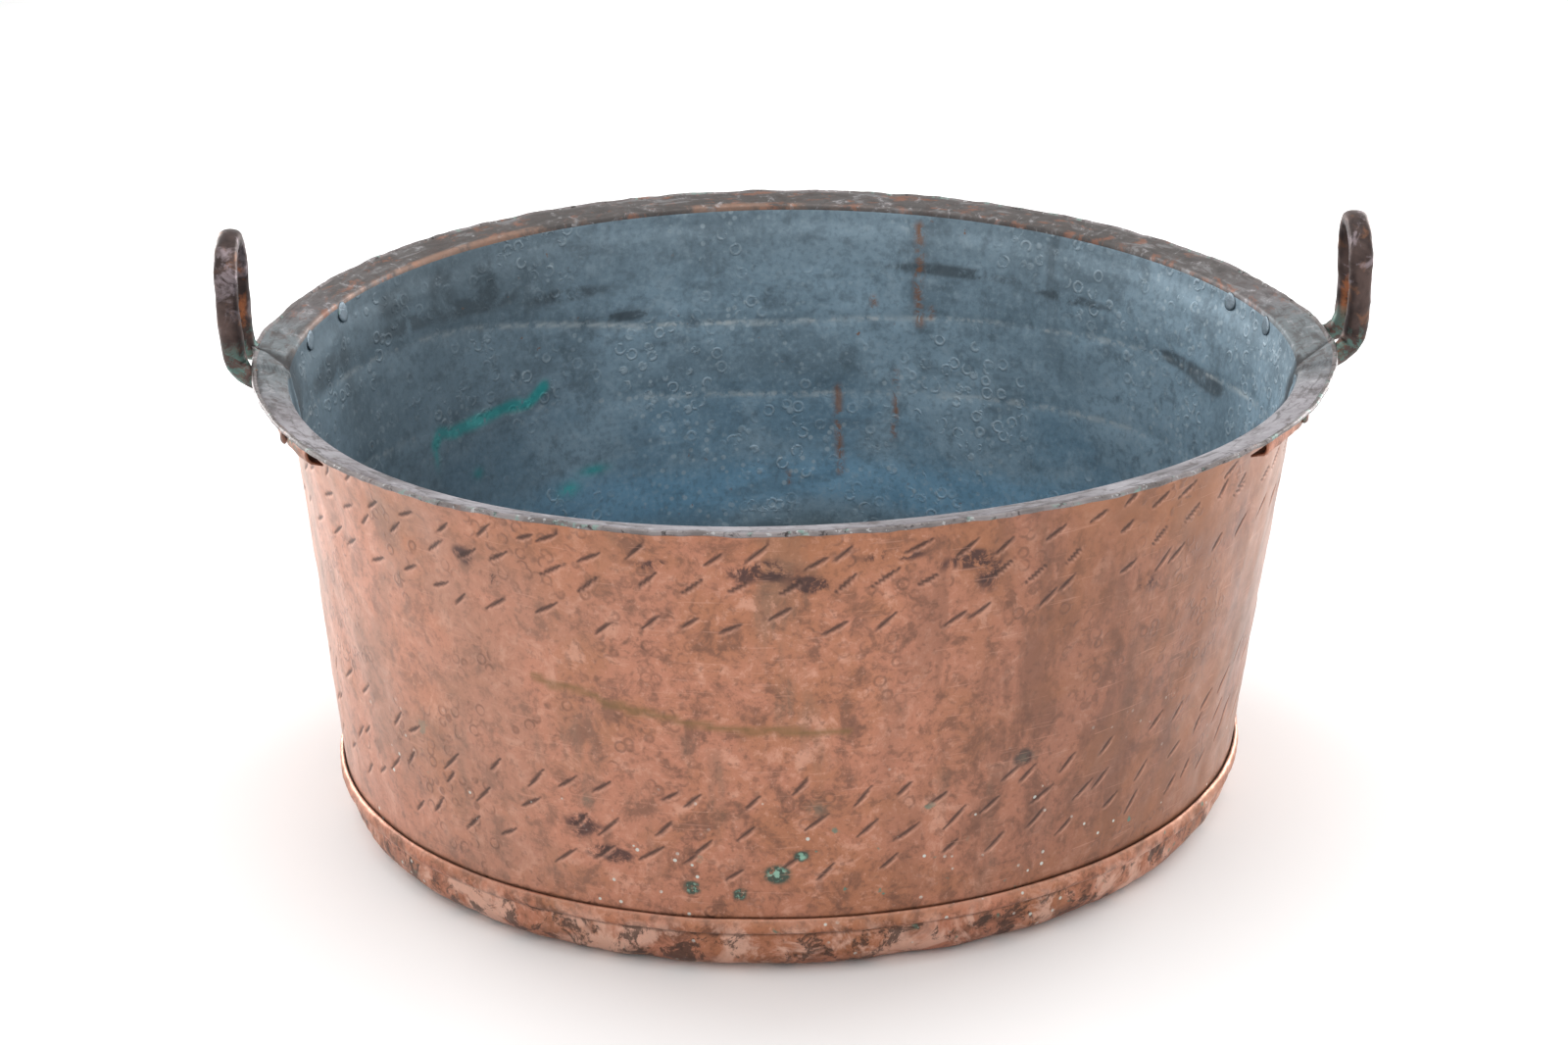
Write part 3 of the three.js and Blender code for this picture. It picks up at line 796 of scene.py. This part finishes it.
def worn_rim():
    s = Shader("worn_rim", (0.38, 0.36, 0.385))
    small = s.noise(85.0, 6.0, 0.7, 0.4)
    s.paint((0.24, 0.22, 0.235), s.patches(0.38, 0.62, 12.0, 5.0, 0.6, 0.4))
    back = s.fade(s.y, -0.05, 0.20)
    s.paint((0.080, 0.070, 0.062), back, 0.85)
    # bluer beside the ears
    beside = s.fade(s.math("ABSOLUTE", s.x), 0.30, 0.37)
    s.paint((0.150, 0.185, 0.195), beside, s.fade(s.y, -0.14, -0.04), s.fade(s.y, 0.12, 0.04), 0.8)
    s.paint((0.10, 0.075, 0.070), s.fade(small, 0.50, 0.66), 0.7)
    s.paint((0.55, 0.53, 0.55), s.fade(small, 0.44, 0.30), 0.6)
    strokes = s.noise(9.0, 5.0, 0.65, 0.8, s.wrapped(1.6, 14.0))
    s.paint((0.075, 0.068, 0.066), s.fade(strokes, 0.50, 0.64), 0.65)
    s.paint((0.36, 0.36, 0.37), s.fade(strokes, 0.46, 0.34), 0.40)
    warm = s.patches(0.54, 0.64, 7.0, 5.0, 0.7, 0.5, s.wrapped(2.2, 14.0))
    s.paint((0.30, 0.135, 0.085), warm, s.fade(s.y, 0.02, 0.12), 0.65)
    # copper shows on the inner edge at the back left, painted also as the highlight along that edge
    worn_edge_and_highlight = s.times(s.fade(s.radius, 0.3785, 0.3755), s.patches(0.46, 0.58, 16.0, 5.0, 0.65))
    s.paint((0.40, 0.235, 0.165), worn_edge_and_highlight, s.fade(s.x, 0.12, -0.10), back, 0.6)
    # painted shade and dirt in the lap seams
    s.paint(SEAM_BLACK, s.mask("seam_dirt_and_shade"), 0.9)
    s.bump(s.noise(70.0, 4.0), 0.0010, 0.5)
    s.bump(small, 0.0005, 0.4)
    return s.finish(s.add(0.40, s.times(small, 0.25)), 0.60, dull=s.mask("seam_dirt_and_shade"))


def hemmed_edge():
    s = Shader("hemmed_edge", (0.16, 0.14, 0.135))
    small = s.noise(120.0, 6.0, 0.7, 0.5)
    s.paint((0.28, 0.25, 0.25), s.patches(0.40, 0.62, 30.0, 4.0))
    s.paint((0.045, 0.035, 0.035), s.fade(small, 0.52, 0.66))
    s.paint((0.50, 0.50, 0.50), s.patches(0.60, 0.68, 210.0, 3.0), 0.7)
    s.paint((0.22, 0.34, 0.30), s.patches(0.54, 0.64, 60.0, 3.0), s.patches(0.45, 0.60, 230.0, 3.0), 0.7)
    s.paint((0.34, 0.14, 0.08), s.patches(0.60, 0.70, 26.0, 4.0, 0.7), 0.55)
    # painted shade and dirt in the lap seams
    s.paint(SEAM_BLACK, s.mask("seam_dirt_and_shade"), 0.9)
    s.bump(small, 0.0008, 0.6)
    return s.finish(0.5, 0.55)


def stained_base():
    s = Shader("stained_base", SALMON)
    small, fine = copper_ground(s)
    pale = s.patches(0.46, 0.58, 26.0, 4.0, 0.65, 0.6)
    s.paint((0.72, 0.46, 0.36), pale, s.fade(s.z, 0.046, 0.030), 0.75)
    dark = s.patches(0.50, 0.58, 48.0, 6.0, 0.75, 0.6)
    s.paint((0.060, 0.042, 0.036), dark, s.fade(s.z, 0.046, 0.026), 0.80)
    crust(s, 0.9)
    # painted shade and grime in the grooves above and below the belt
    s.paint((0.030, 0.022, 0.018), s.mask("groove_shade_and_grime"), 0.92)
    # painted highlight along the belt's upper edge
    s.paint((0.72, 0.47, 0.37), s.mask("belt_edge_highlight"), 0.22)
    tin = s.mix(s.fade(small, 0.40, 0.62), (0.115, 0.165, 0.205), (0.060, 0.080, 0.090))
    s.paint(tin, s.mask("pan_inside"))
    s.bump(s.noise(55.0, 4.0), 0.0012, 0.5)
    s.bump(fine, 0.0005, 0.5)
    return s.finish(s.add(0.36, s.times(small, 0.24)), 0.80)


def forged_ear():
    s = Shader("forged_ear", (0.105, 0.070, 0.062))
    small = s.noise(110.0, 6.0, 0.7, 0.3)
    s.paint((0.042, 0.029, 0.027), s.patches(0.40, 0.62, 26.0, 5.0, 0.6, 0.5))
    # pale lavender patches on the upper bar, partly painted highlight
    s.paint((0.33, 0.27, 0.29), s.patches(0.53, 0.66, 44.0, 5.0, 0.65, 0.8), s.fade(s.z, 0.36, 0.40), 0.70)
    s.paint((0.22, 0.105, 0.060), s.patches(0.54, 0.66, 60.0, 4.0, 0.65, 0.5), 0.6)
    s.paint((0.36, 0.125, 0.050), s.patches(0.50, 0.60, 40.0, 4.0, 0.6, 0.4), s.mask("loop_inside"), 0.8)
    s.paint((0.10, 0.20, 0.175), s.mask("ear_foot"), s.patches(0.46, 0.56, 80.0, 6.0, 0.72, 0.5), 0.75)
    s.paint((0.035, 0.025, 0.025), s.fade(small, 0.56, 0.68), 0.6)
    s.bump(s.cells(75.0, 1.0, "SMOOTH_F1"), 0.0030, 0.6)
    s.bump(small, 0.0006, 0.5)
    return s.finish(s.add(0.36, s.times(small, 0.25)), 0.70)


def strap_copper():
    s = Shader("strap_copper", SALMON)
    small, _ = copper_ground(s)
    s.paint((0.11, 0.060, 0.045), s.patches(0.40, 0.58, 40.0, 5.0, 0.65), 0.7)
    s.paint(VERDIGRIS, s.patches(0.60, 0.68, 80.0, 4.0, 0.65), 0.6)
    s.bump(s.noise(90.0, 4.0), 0.0012, 0.6)
    return s.finish(s.add(0.38, s.times(small, 0.22)), 0.80)


def dark_rivet():
    s = Shader("dark_rivet", (0.20, 0.100, 0.070))
    small = s.noise(160.0, 5.0, 0.65, 0.4)
    s.paint((0.060, 0.042, 0.040), s.fade(small, 0.40, 0.60))
    s.paint((0.190, 0.245, 0.285), s.mask("inner_head"), 0.9)
    s.paint(VERDIGRIS, s.patches(0.60, 0.68, 90.0, 4.0), 0.6)
    s.bump(small, 0.0008, 0.6)
    return s.finish(0.46, 0.70)


# ---------- the two wall sheets ----------
def front_ends(radius, height):
    left = tab_end(radius, height, TAB_LEFT_FLANGE, TAB_LEFT_WALL)
    return left, tab_end(radius, height, TAB_RIGHT_FLANGE, TAB_RIGHT_WALL)


def rear_ends(radius, height):
    return REAR_RIGHT_END, REAR_LEFT_END


def front_lift(angle):
    """How far the sheet has stepped inwards."""
    return smooth(*STEP_RIGHT, angle) + 1 - smooth(*STEP_LEFT, angle)


def no_lift(angle):
    return np.zeros(len(angle))


wall_materials = [hammered_outside(), hemmed_edge(), worn_rim(), tinned_inside()]
front_outer = [FOOT_BOTTOM] + spaced(FOOT_BOTTOM, 0.070, 0.0040) + spaced(0.070, 0.155, 0.0019)
front_outer += spaced(0.155, 0.252, 0.0036) + spaced(0.252, WALL_TOP, 0.0019)
front_inner = spaced(WALL_TOP + 0.004, 0.25, 0.006) + spaced(0.25, FOOT_BOTTOM, 0.010)
rear_outer = [FOOT_BOTTOM] + spaced(FOOT_BOTTOM, WALL_TOP, 0.0034)
rear_inner = spaced(WALL_TOP + 0.003, 0.10, 0.0026) + spaced(0.10, FOOT_BOTTOM, 0.006)
front_rows, rear_rows = sheet_rows(front_outer, front_inner), sheet_rows(rear_outer, rear_inner)
front_sheet = wall_sheet("front_wall_sheet", front_rows, FRONT_COLUMNS, front_ends, front_lift)
rear_sheet = wall_sheet("rear_wall_sheet", rear_rows, REAR_COLUMNS, rear_ends, no_lift)


# ---------- the base pan ----------
# its section as (outwards, upwards) from the foot of its side and from the belt's lower and upper edges
PAN_SIDE = [(0.0006, 0.0245), (0.0010, 0.0290), (0.0012, 0.0321), (0.0022, 0.0331)]
BELT_FACE = [(-0.0022, 0), (-0.0008, 0.0008), (-0.0001, 0.0024), (0, 0.0045), (-0.0001, 0.0068)]
BELT_LIP = [(-0.0006, -0.0024), (-0.0013, -0.0010), (-0.0022, -0.0003), (-0.0031, -0.0004),
            (-0.0038, -0.0012), (-0.0039, -0.0040)]
BELT_INSIDE = [(0.0035, 0.0360), (0.0009, 0.0357), (0.0010 - SHEET, 0.0345), (-SHEET, 0.0320)]


def pan_corner(radius, first, last, count):
    """Points of the rounded corner between the floor and the side."""
    middle = PAN_RADIUS - PAN_CORNER
    turns = [math.radians(turn) for turn in np.linspace(first, last, count)]
    return [(middle + radius * math.cos(turn), PAN_CORNER + radius * math.sin(turn)) for turn in turns]


def pan_section():
    """(radius, height) from the middle underneath, round the corner and the belt, to the floor's middle."""
    flat_end = PAN_RADIUS - PAN_CORNER
    section = [(r, 0.0) for r in np.linspace(0.010, flat_end, 22)]
    section += pan_corner(PAN_CORNER, -80, 0, 12)
    for radius, height, places in ((PAN_RADIUS, 0, PAN_SIDE), (BELT_RADIUS, BELT_BOTTOM, BELT_FACE),
                                   (BELT_RADIUS, BELT_TOP, BELT_LIP), (PAN_RADIUS, 0, BELT_INSIDE)):
        section += [(radius + out, height + up) for out, up in places]
    section += [(PAN_RADIUS - SHEET, h) for h in np.linspace(0.029, PAN_CORNER, 4)]
    section += pan_corner(PAN_CORNER - SHEET, -8, -84, 10)
    section += [(r, SHEET) for r in np.linspace(flat_end - 0.003, 0.010, 22)]
    return section


def make_pan(material):
    section = pan_section()
    rows = len(section)
    angle = np.tile(np.linspace(0, 360, PAN_COLUMNS, endpoint=False), rows)
    radius, height = (np.repeat(values, PAN_COLUMNS) for values in zip(*section))
    flat = out_of_true(angle, radius, height)
    side = smooth(0.28, 0.335, radius) * (1 - smooth(0.030, 0.036, height))
    push = side * lumps(flat, (0.8, 0.050, 51), (0.4, 0.017, 52))
    # the old pan is knocked in at one place in front
    push -= side * 3.0 * MM * bell(arc_from(angle, 283, PAN_RADIUS), 0.030)
    belt = smooth(BELT_RADIUS - 0.0035, BELT_RADIUS - 0.001, radius)
    push += belt * lumps(flat, (0.35, 0.040, 53), (0.2, 0.012, 54))
    points = flat + outwards_at(angle) * push[:, None]
    lift = smooth(0.30, 0.33, radius) * (1 - smooth(0.012, 0.03, height))
    points[:, 2] += np.abs(lift * lumps(flat, (0.7, 0.06, 55)))
    middle_lift = 0.5 * MM * (0.5 + 0.5 * np.clip(ripples(flat, 0.11, 56), -1, 1))
    points[:, 2] += (1 - smooth(0.25, 0.31, radius)) * middle_lift
    belt_sway = smooth(0.0300, 0.0345, height) * (radius > 0.3395)
    points[:, 2] += belt_sway * lumps(flat, (0.4, 0.09, 57))

    faces = strip_faces(rows, PAN_COLUMNS, False, True)
    for ring, level, flip in ((0, 0.0004, True), (rows - 1, SHEET + 0.0004, False)):
        middle = len(points)
        points = np.vstack([points, [BASE_LEAN, 0, level]])
        for column in range(PAN_COLUMNS):
            right = (column + 1) % PAN_COLUMNS
            add_face(faces, (ring * PAN_COLUMNS + column, ring * PAN_COLUMNS + right, middle), flip)
    # the last two points are the middles underneath and inside
    belt_row = max(i for i, (_, h) in enumerate(section) if h >= BELT_TOP - 0.0015)
    inside = np.append((np.arange(rows) > belt_row + 1).repeat(PAN_COLUMNS), [False, True])
    radius, height = np.append(radius, [0, 0]), np.append(height, [0, SHEET])
    below = bell(height - BELT_BOTTOM + 0.0008, 1.3 * MM) * (radius > 0.339) * (radius < BELT_RADIUS - 0.0009)
    above = (radius < BELT_RADIUS - 0.0028) * (height > BELT_TOP - 0.006)
    masks = {
        "groove_shade_and_grime": np.maximum(below, above) * ~inside,
        "belt_edge_highlight": smooth(BELT_TOP - 0.0030, BELT_TOP - 0.0012, height) * (radius > BELT_RADIUS - 0.0030),
        "pan_inside": inside,
    }
    return make_object("base_pan_dish", points, faces, [material], masks)


pan = make_pan(stained_base())


# ---------- ears ----------
# the bend up into the bar: outwards from it, along the rim from its leg, height, and its half sizes in mm
EAR_BEND = [(-0.0028, 0.009, 0.3450, 8.6, 7.2), (-0.0006, 0.008, 0.3520, 9.0, 7.4),
            (0, 0.005, 0.3620, 8.7, 7.2), (0, 0.002, 0.3740, 8.4, 7.0), (0, 0, 0.3860, 8.5, 6.8),
            (0, 0, 0.3980, 8.5, 6.8)]


def ear_path(side):
    """Middle line of an ear as (x, y, z, two half sizes), before it is turned to its side of the vat."""
    centre = EAR_CENTRES[side]
    half = []
    for step in np.linspace(0, 1, 26):
        angle = -ARM_END + (ARM_END - ARM_START) * step
        wall = out_of_true(EAR_TURN[side] + angle, wall_radius(WALL_TOP) + SEAT, RIVET_HEIGHT)
        x, y = around(angle, math.hypot(wall[0], wall[1]) + GAP + 5.0 * MM)
        half.append((x, y, wall[2], 4.8 * MM, 5.6 * MM))
    x, y, z = half[-1][:3]
    half += [(x + 0.002, y + 0.008, z + 0.0003, 4.8 * MM, 5.6 * MM),
             (x + 0.007, y + 0.016, z + 0.0012, 5.2 * MM, 5.6 * MM),
             (0.4015, -EAR_HALF_SPREAD, 0.3385, 6.0 * MM, 5.6 * MM),
             (0.4080, -EAR_HALF_SPREAD + 0.008, 0.3395, 7.6 * MM, 6.6 * MM)]
    half += [(centre + out, y - EAR_HALF_SPREAD, z, a * MM, b * MM) for out, y, z, a, b in EAR_BEND]
    for turn_up in np.radians(np.linspace(180, 90, 14)):
        half.append((centre, EAR_HALF_SPREAD * math.cos(turn_up),
                     EAR_ARCH_HEIGHT + EAR_HALF_SPREAD * math.sin(turn_up), 8.6 * MM, 6.6 * MM))
    return np.array(half + [(x, -y, z, a, b) for x, y, z, a, b in reversed(half[:-1])])


def resampled(path, step):
    """The same path with even steps and its corners eased."""
    for _ in range(3):
        path[1:-1] = (path[:-2] + 2 * path[1:-1] + path[2:]) / 4
    length = walked(path[:, :3])
    even = np.linspace(0, length[-1], round(length[-1] / step))
    return np.stack([np.interp(even, length, path[:, k]) for k in range(path.shape[1])], -1)


def unit(vectors):
    return vectors / np.linalg.norm(vectors, axis=1)[:, None]


def rounded_square(turn):
    """From -1 to 1, like a cosine, but nearer the corners of a square."""
    return np.sign(turn) * np.abs(turn) ** EAR_ROUNDING


def make_ear(side, material):
    path = resampled(ear_path(side), EAR_STEP)
    count = len(path)
    tangent = unit(np.gradient(path[:, :3], axis=0))
    radial = np.stack([path[:, 0], path[:, 1] * smooth(0.06, 0.10, np.abs(path[:, 1])), np.zeros(count)], -1)
    radial = unit(radial - tangent * np.sum(radial * tangent, axis=1)[:, None])
    other = np.cross(tangent, radial)
    turn = np.linspace(0, 2 * math.pi, EAR_SIDES, endpoint=False)
    taper = smooth(0, 5, np.arange(count)) * smooth(0, 5, np.arange(count)[::-1]) * 0.35 + 0.65
    across = rounded_square(np.cos(turn)) * path[:, 3:4] * taper[:, None]
    along = rounded_square(np.sin(turn)) * path[:, 4:5] * taper[:, None]
    offset = radial[:, None] * across[..., None] + other[:, None] * along[..., None]
    points = (path[:, None, :3] + offset).reshape(-1, 3)
    outwards = unit(offset.reshape(-1, 3))
    seed = 61 if side == "right" else 62
    hammered = lumps(points, (0.45, 0.024, seed), (0.16, 0.010, seed + 4))
    upright = smooth(0.345, 0.365, points[:, 2])
    points = points + outwards * (hammered * (0.35 + 0.65 * upright))[:, None]
    towards = np.array([EAR_CENTRES[side], 0, EAR_ARCH_HEIGHT]) - points
    towards[:, 2] *= smooth(EAR_ARCH_HEIGHT - 0.01, EAR_ARCH_HEIGHT + 0.01, points[:, 2])
    masks = {
        "loop_inside": smooth(0.2, 0.6, np.sum(outwards * unit(towards), axis=1)) * upright,
        "ear_foot": 1 - smooth(0.350, 0.372, points[:, 2]),
    }
    ear = make_object(f"forged_ear_{side}", points, tube_faces(count, EAR_SIDES), [material], masks)
    ear.data.transform(Matrix.Rotation(math.radians(EAR_TURN[side]), 4, "Z"))
    return ear


ear_material = forged_ear()
ears = {side: make_ear(side, ear_material) for side in ("left", "right")}


# ---------- straps ----------
def strap_section(wall):
    """Closed outline of a strap as (radius, height): a channel that is open towards the wall."""
    outside = wall + STRAP_WIDTH
    skin = STRAP_SHEET
    top, bottom = STRAP_TOP, STRAP_BOTTOM
    return [(wall, bottom - skin), (wall + 0.0055, bottom), (outside - 0.0030, bottom + 0.0012),
            (outside - 0.0008, bottom + 0.0034), (outside, bottom + 0.0075), (outside - 0.0004, top - 0.0030),
            (outside - 0.0018, top - 0.0008), (outside - 0.0045, top), (wall + 0.0030, top),
            (wall + 0.0030, top - skin), (outside - 0.0050, top - skin),
            (outside - 0.0018 - skin * 0.7, top - 0.0032), (outside - skin, bottom + 0.0075),
            (outside - 0.0010 - skin, bottom + 0.0042), (outside - 0.0040, bottom + 0.0029),
            (wall + 0.0055, bottom + skin), (wall, bottom)]


def make_strap(side, end, material):
    """A bent strip that wraps an ear's arm against the wall."""
    towards_rear = (end == "rear") == (side == "right")
    low, high = (STRAP_START, STRAP_END[side]) if towards_rear else (-STRAP_END[side], -STRAP_START)
    wall = wall_radius(WALL_TOP) + SEAT + GAP
    section = strap_section(wall)
    rows, columns = len(section), STRAP_COLUMNS
    angle = np.tile(np.linspace(EAR_TURN[side] + low, EAR_TURN[side] + high, columns), rows)
    radius, height = (np.repeat(values, columns) for values in zip(*section))
    seated = out_of_true(angle, np.full(len(angle), wall), np.full(len(angle), RIVET_HEIGHT))
    x, y = around(angle, radius + np.hypot(seated[:, 0], seated[:, 1]) - wall)
    points = np.stack([x, y, height + seated[:, 2] - RIVET_HEIGHT], -1)
    away = smooth(wall + 0.002, wall + 0.008, radius)
    push = away * lumps(points, (0.5, 0.030, 71), (0.25, 0.010, 72))
    points += outwards_at(angle) * push[:, None]
    points[:, 2] += away * lumps(points, (0.3, 0.020, 73))
    faces = strip_faces(rows, columns, True, False)
    # the ends are closed as far as the last three corners of the outline, beside the wall, which stay open
    for column, flip in ((0, False), (columns - 1, True)):
        for i in range(rows // 2 - 1):
            ring = (i, i + 1, rows - 2 - i, rows - 1 - i)
            add_face(faces, [row * columns + column for row in ring], flip)
    return make_object(f"strap_{side}_{end}", points, faces, [material], {})


strap_material = strap_copper()
strap_ends = [(side, end) for side in ("left", "right") for end in ("front", "rear")]
straps = {(side, end): make_strap(side, end, strap_material) for side, end in strap_ends}


# ---------- rivets ----------
# heads as (distance from the axis, place along the axis from the face that they lie on), in mm
INNER_HEAD = [(2.5, -0.75), (5.0, -0.7), (6.8, -0.55), (7.6, -0.25), (7.4, 0)]
OUTER_HEAD = [(5.6, 0), (5.9, 0.5), (5.2, 1.7), (3.8, 2.6), (1.8, 3.0)]


def rivet_section(inside, outside):
    """(distance from the axis, place along it) from head to head; 0 is the middle of the wall."""
    section = [(away * MM, along * MM - inside) for away, along in INNER_HEAD]
    section += [(RIVET_SHANK, -inside), (RIVET_SHANK, outside)]
    return section + [(away * MM, along * MM + outside) for away, along in OUTER_HEAD]


def make_rivet(node, material):
    lowest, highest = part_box(node)
    middle = (lowest + highest) / 2
    angle = math.degrees(math.atan2(middle.y, middle.x))
    seat = out_of_true(angle, float(wall_radius(RIVET_HEIGHT)) - SHEET / 2, RIVET_HEIGHT)
    section = rivet_section(SHEET / 2 + 0.2 * MM, SHEET / 2 + 14.6 * MM)
    turn = np.linspace(0, 2 * math.pi, RIVET_SIDES, endpoint=False)
    chance = np.random.default_rng(round(abs(angle) * 10))
    uneven = 1 + 0.07 * np.cos(2 * turn + chance.uniform(0, 6))
    uneven += 0.05 * np.cos(3 * turn + chance.uniform(0, 6))
    points = []
    for away, along in section:
        wide = away * (uneven if away > 3.5 * MM else np.ones(RIVET_SIDES))
        rise = wide * np.sin(turn)
        leaning = (INNER_SLOPE if along < 0 else 0.0) * rise
        points.append(np.stack([along + leaning, wide * np.cos(turn), rise], -1))
    points = np.concatenate(points)
    masks = {"inner_head": points[:, 0] < 0}
    rivet = make_object(f"peened_{node}", points, tube_faces(len(section), RIVET_SIDES), [material], masks)
    rivet.data.transform(Matrix.Translation(Vector(seat)) @ Matrix.Rotation(math.radians(angle), 4, "Z"))
    return rivet


rivet_material = dark_rivet()
rivet_nodes = [f"rivet_{side}_{number}" for side in ("left", "right") for number in range(1, 5)]
rivets = {node: make_rivet(node, rivet_material) for node in rivet_nodes}


# ---------- which piece stands for which CAD node ----------
def stand_for(piece, node):
    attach(piece, "root")
    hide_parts(node)


pieces = {"wall_sheet_front": front_sheet, "wall_sheet_rear": rear_sheet, "base_pan": pan}
pieces.update({f"ear_{side}": ear for side, ear in ears.items()})
pieces.update({f"ear_strap_{side}_{end}": strap for (side, end), strap in straps.items()})
pieces.update(rivets)
for node, piece in pieces.items():
    stand_for(piece, node)


# ---------- floor, light and camera ----------
def pale_floor():
    bpy.ops.mesh.primitive_plane_add(size=14, location=(0, 0, -0.0004))
    floor = bpy.context.object
    floor.name = "floor"
    s = Shader("pale_floor", (0.92, 0.92, 0.92))
    s.paint((0.88, 0.88, 0.87), s.noise(3.0, 3.0), 0.1)
    floor.data.materials.append(s.finish(0.9, 0.0))


def soft_light(name, place, towards, size, power):
    light = bpy.data.lights.new(name, "AREA")
    light.shape = "RECTANGLE"
    light.size, light.size_y = size
    light.energy = power
    lamp = bpy.data.objects.new(name, light)
    bpy.context.scene.collection.objects.link(lamp)
    lamp.location = place
    lamp.visible_camera = False
    direction = Vector(towards) - Vector(place)
    lamp.rotation_euler = direction.to_track_quat("-Z", "Y").to_euler()


def studio():
    world = bpy.data.worlds.new("studio")
    bpy.context.scene.world = world
    world.use_nodes = True
    world.node_tree.nodes["Background"].inputs["Color"].default_value = (1, 1, 1, 1)
    world.node_tree.nodes["Background"].inputs["Strength"].default_value = 0.95
    soft_light("overhead", (0, -0.4, 2.6), (0, 0, 0.2), (2.6, 2.0), 24)
    soft_light("behind_right", (1.9, 1.7, 0.5), (0, 0, 0.15), (1.6, 1.4), 62)
    soft_light("behind_left", (-1.9, 1.7, 0.5), (0, 0, 0.15), (1.6, 1.4), 56)
    bpy.context.scene.view_settings.view_transform = "Standard"


def photo_camera():
    elevation, pitch, yaw, roll = (math.radians(a) for a in (18.30, 21.07, -0.14, -1.07))
    distance = 7 * RIM_RADIUS
    place = Vector((0, -distance * math.cos(elevation), RIM_HEIGHT + distance * math.sin(elevation)))
    forward = Vector((math.sin(yaw) * math.cos(pitch), math.cos(yaw) * math.cos(pitch), -math.sin(pitch)))
    right = forward.cross(Vector((0, 0, 1))).normalized()
    up = right.cross(forward)
    tilted_right = math.cos(roll) * right + math.sin(roll) * up
    tilted_up = math.cos(roll) * up - math.sin(roll) * right
    data = bpy.data.cameras.new("photo_camera")
    data.sensor_width = 36
    data.lens = 86.1
    camera = bpy.data.objects.new("photo_camera", data)
    bpy.context.scene.collection.objects.link(camera)
    turned = Matrix((tilted_right, tilted_up, -forward)).transposed().to_4x4()
    camera.matrix_world = Matrix.Translation(place) @ turned
    bpy.context.scene.camera = camera


pale_floor()
studio()
photo_camera()

bpy.context.view_layer.update()
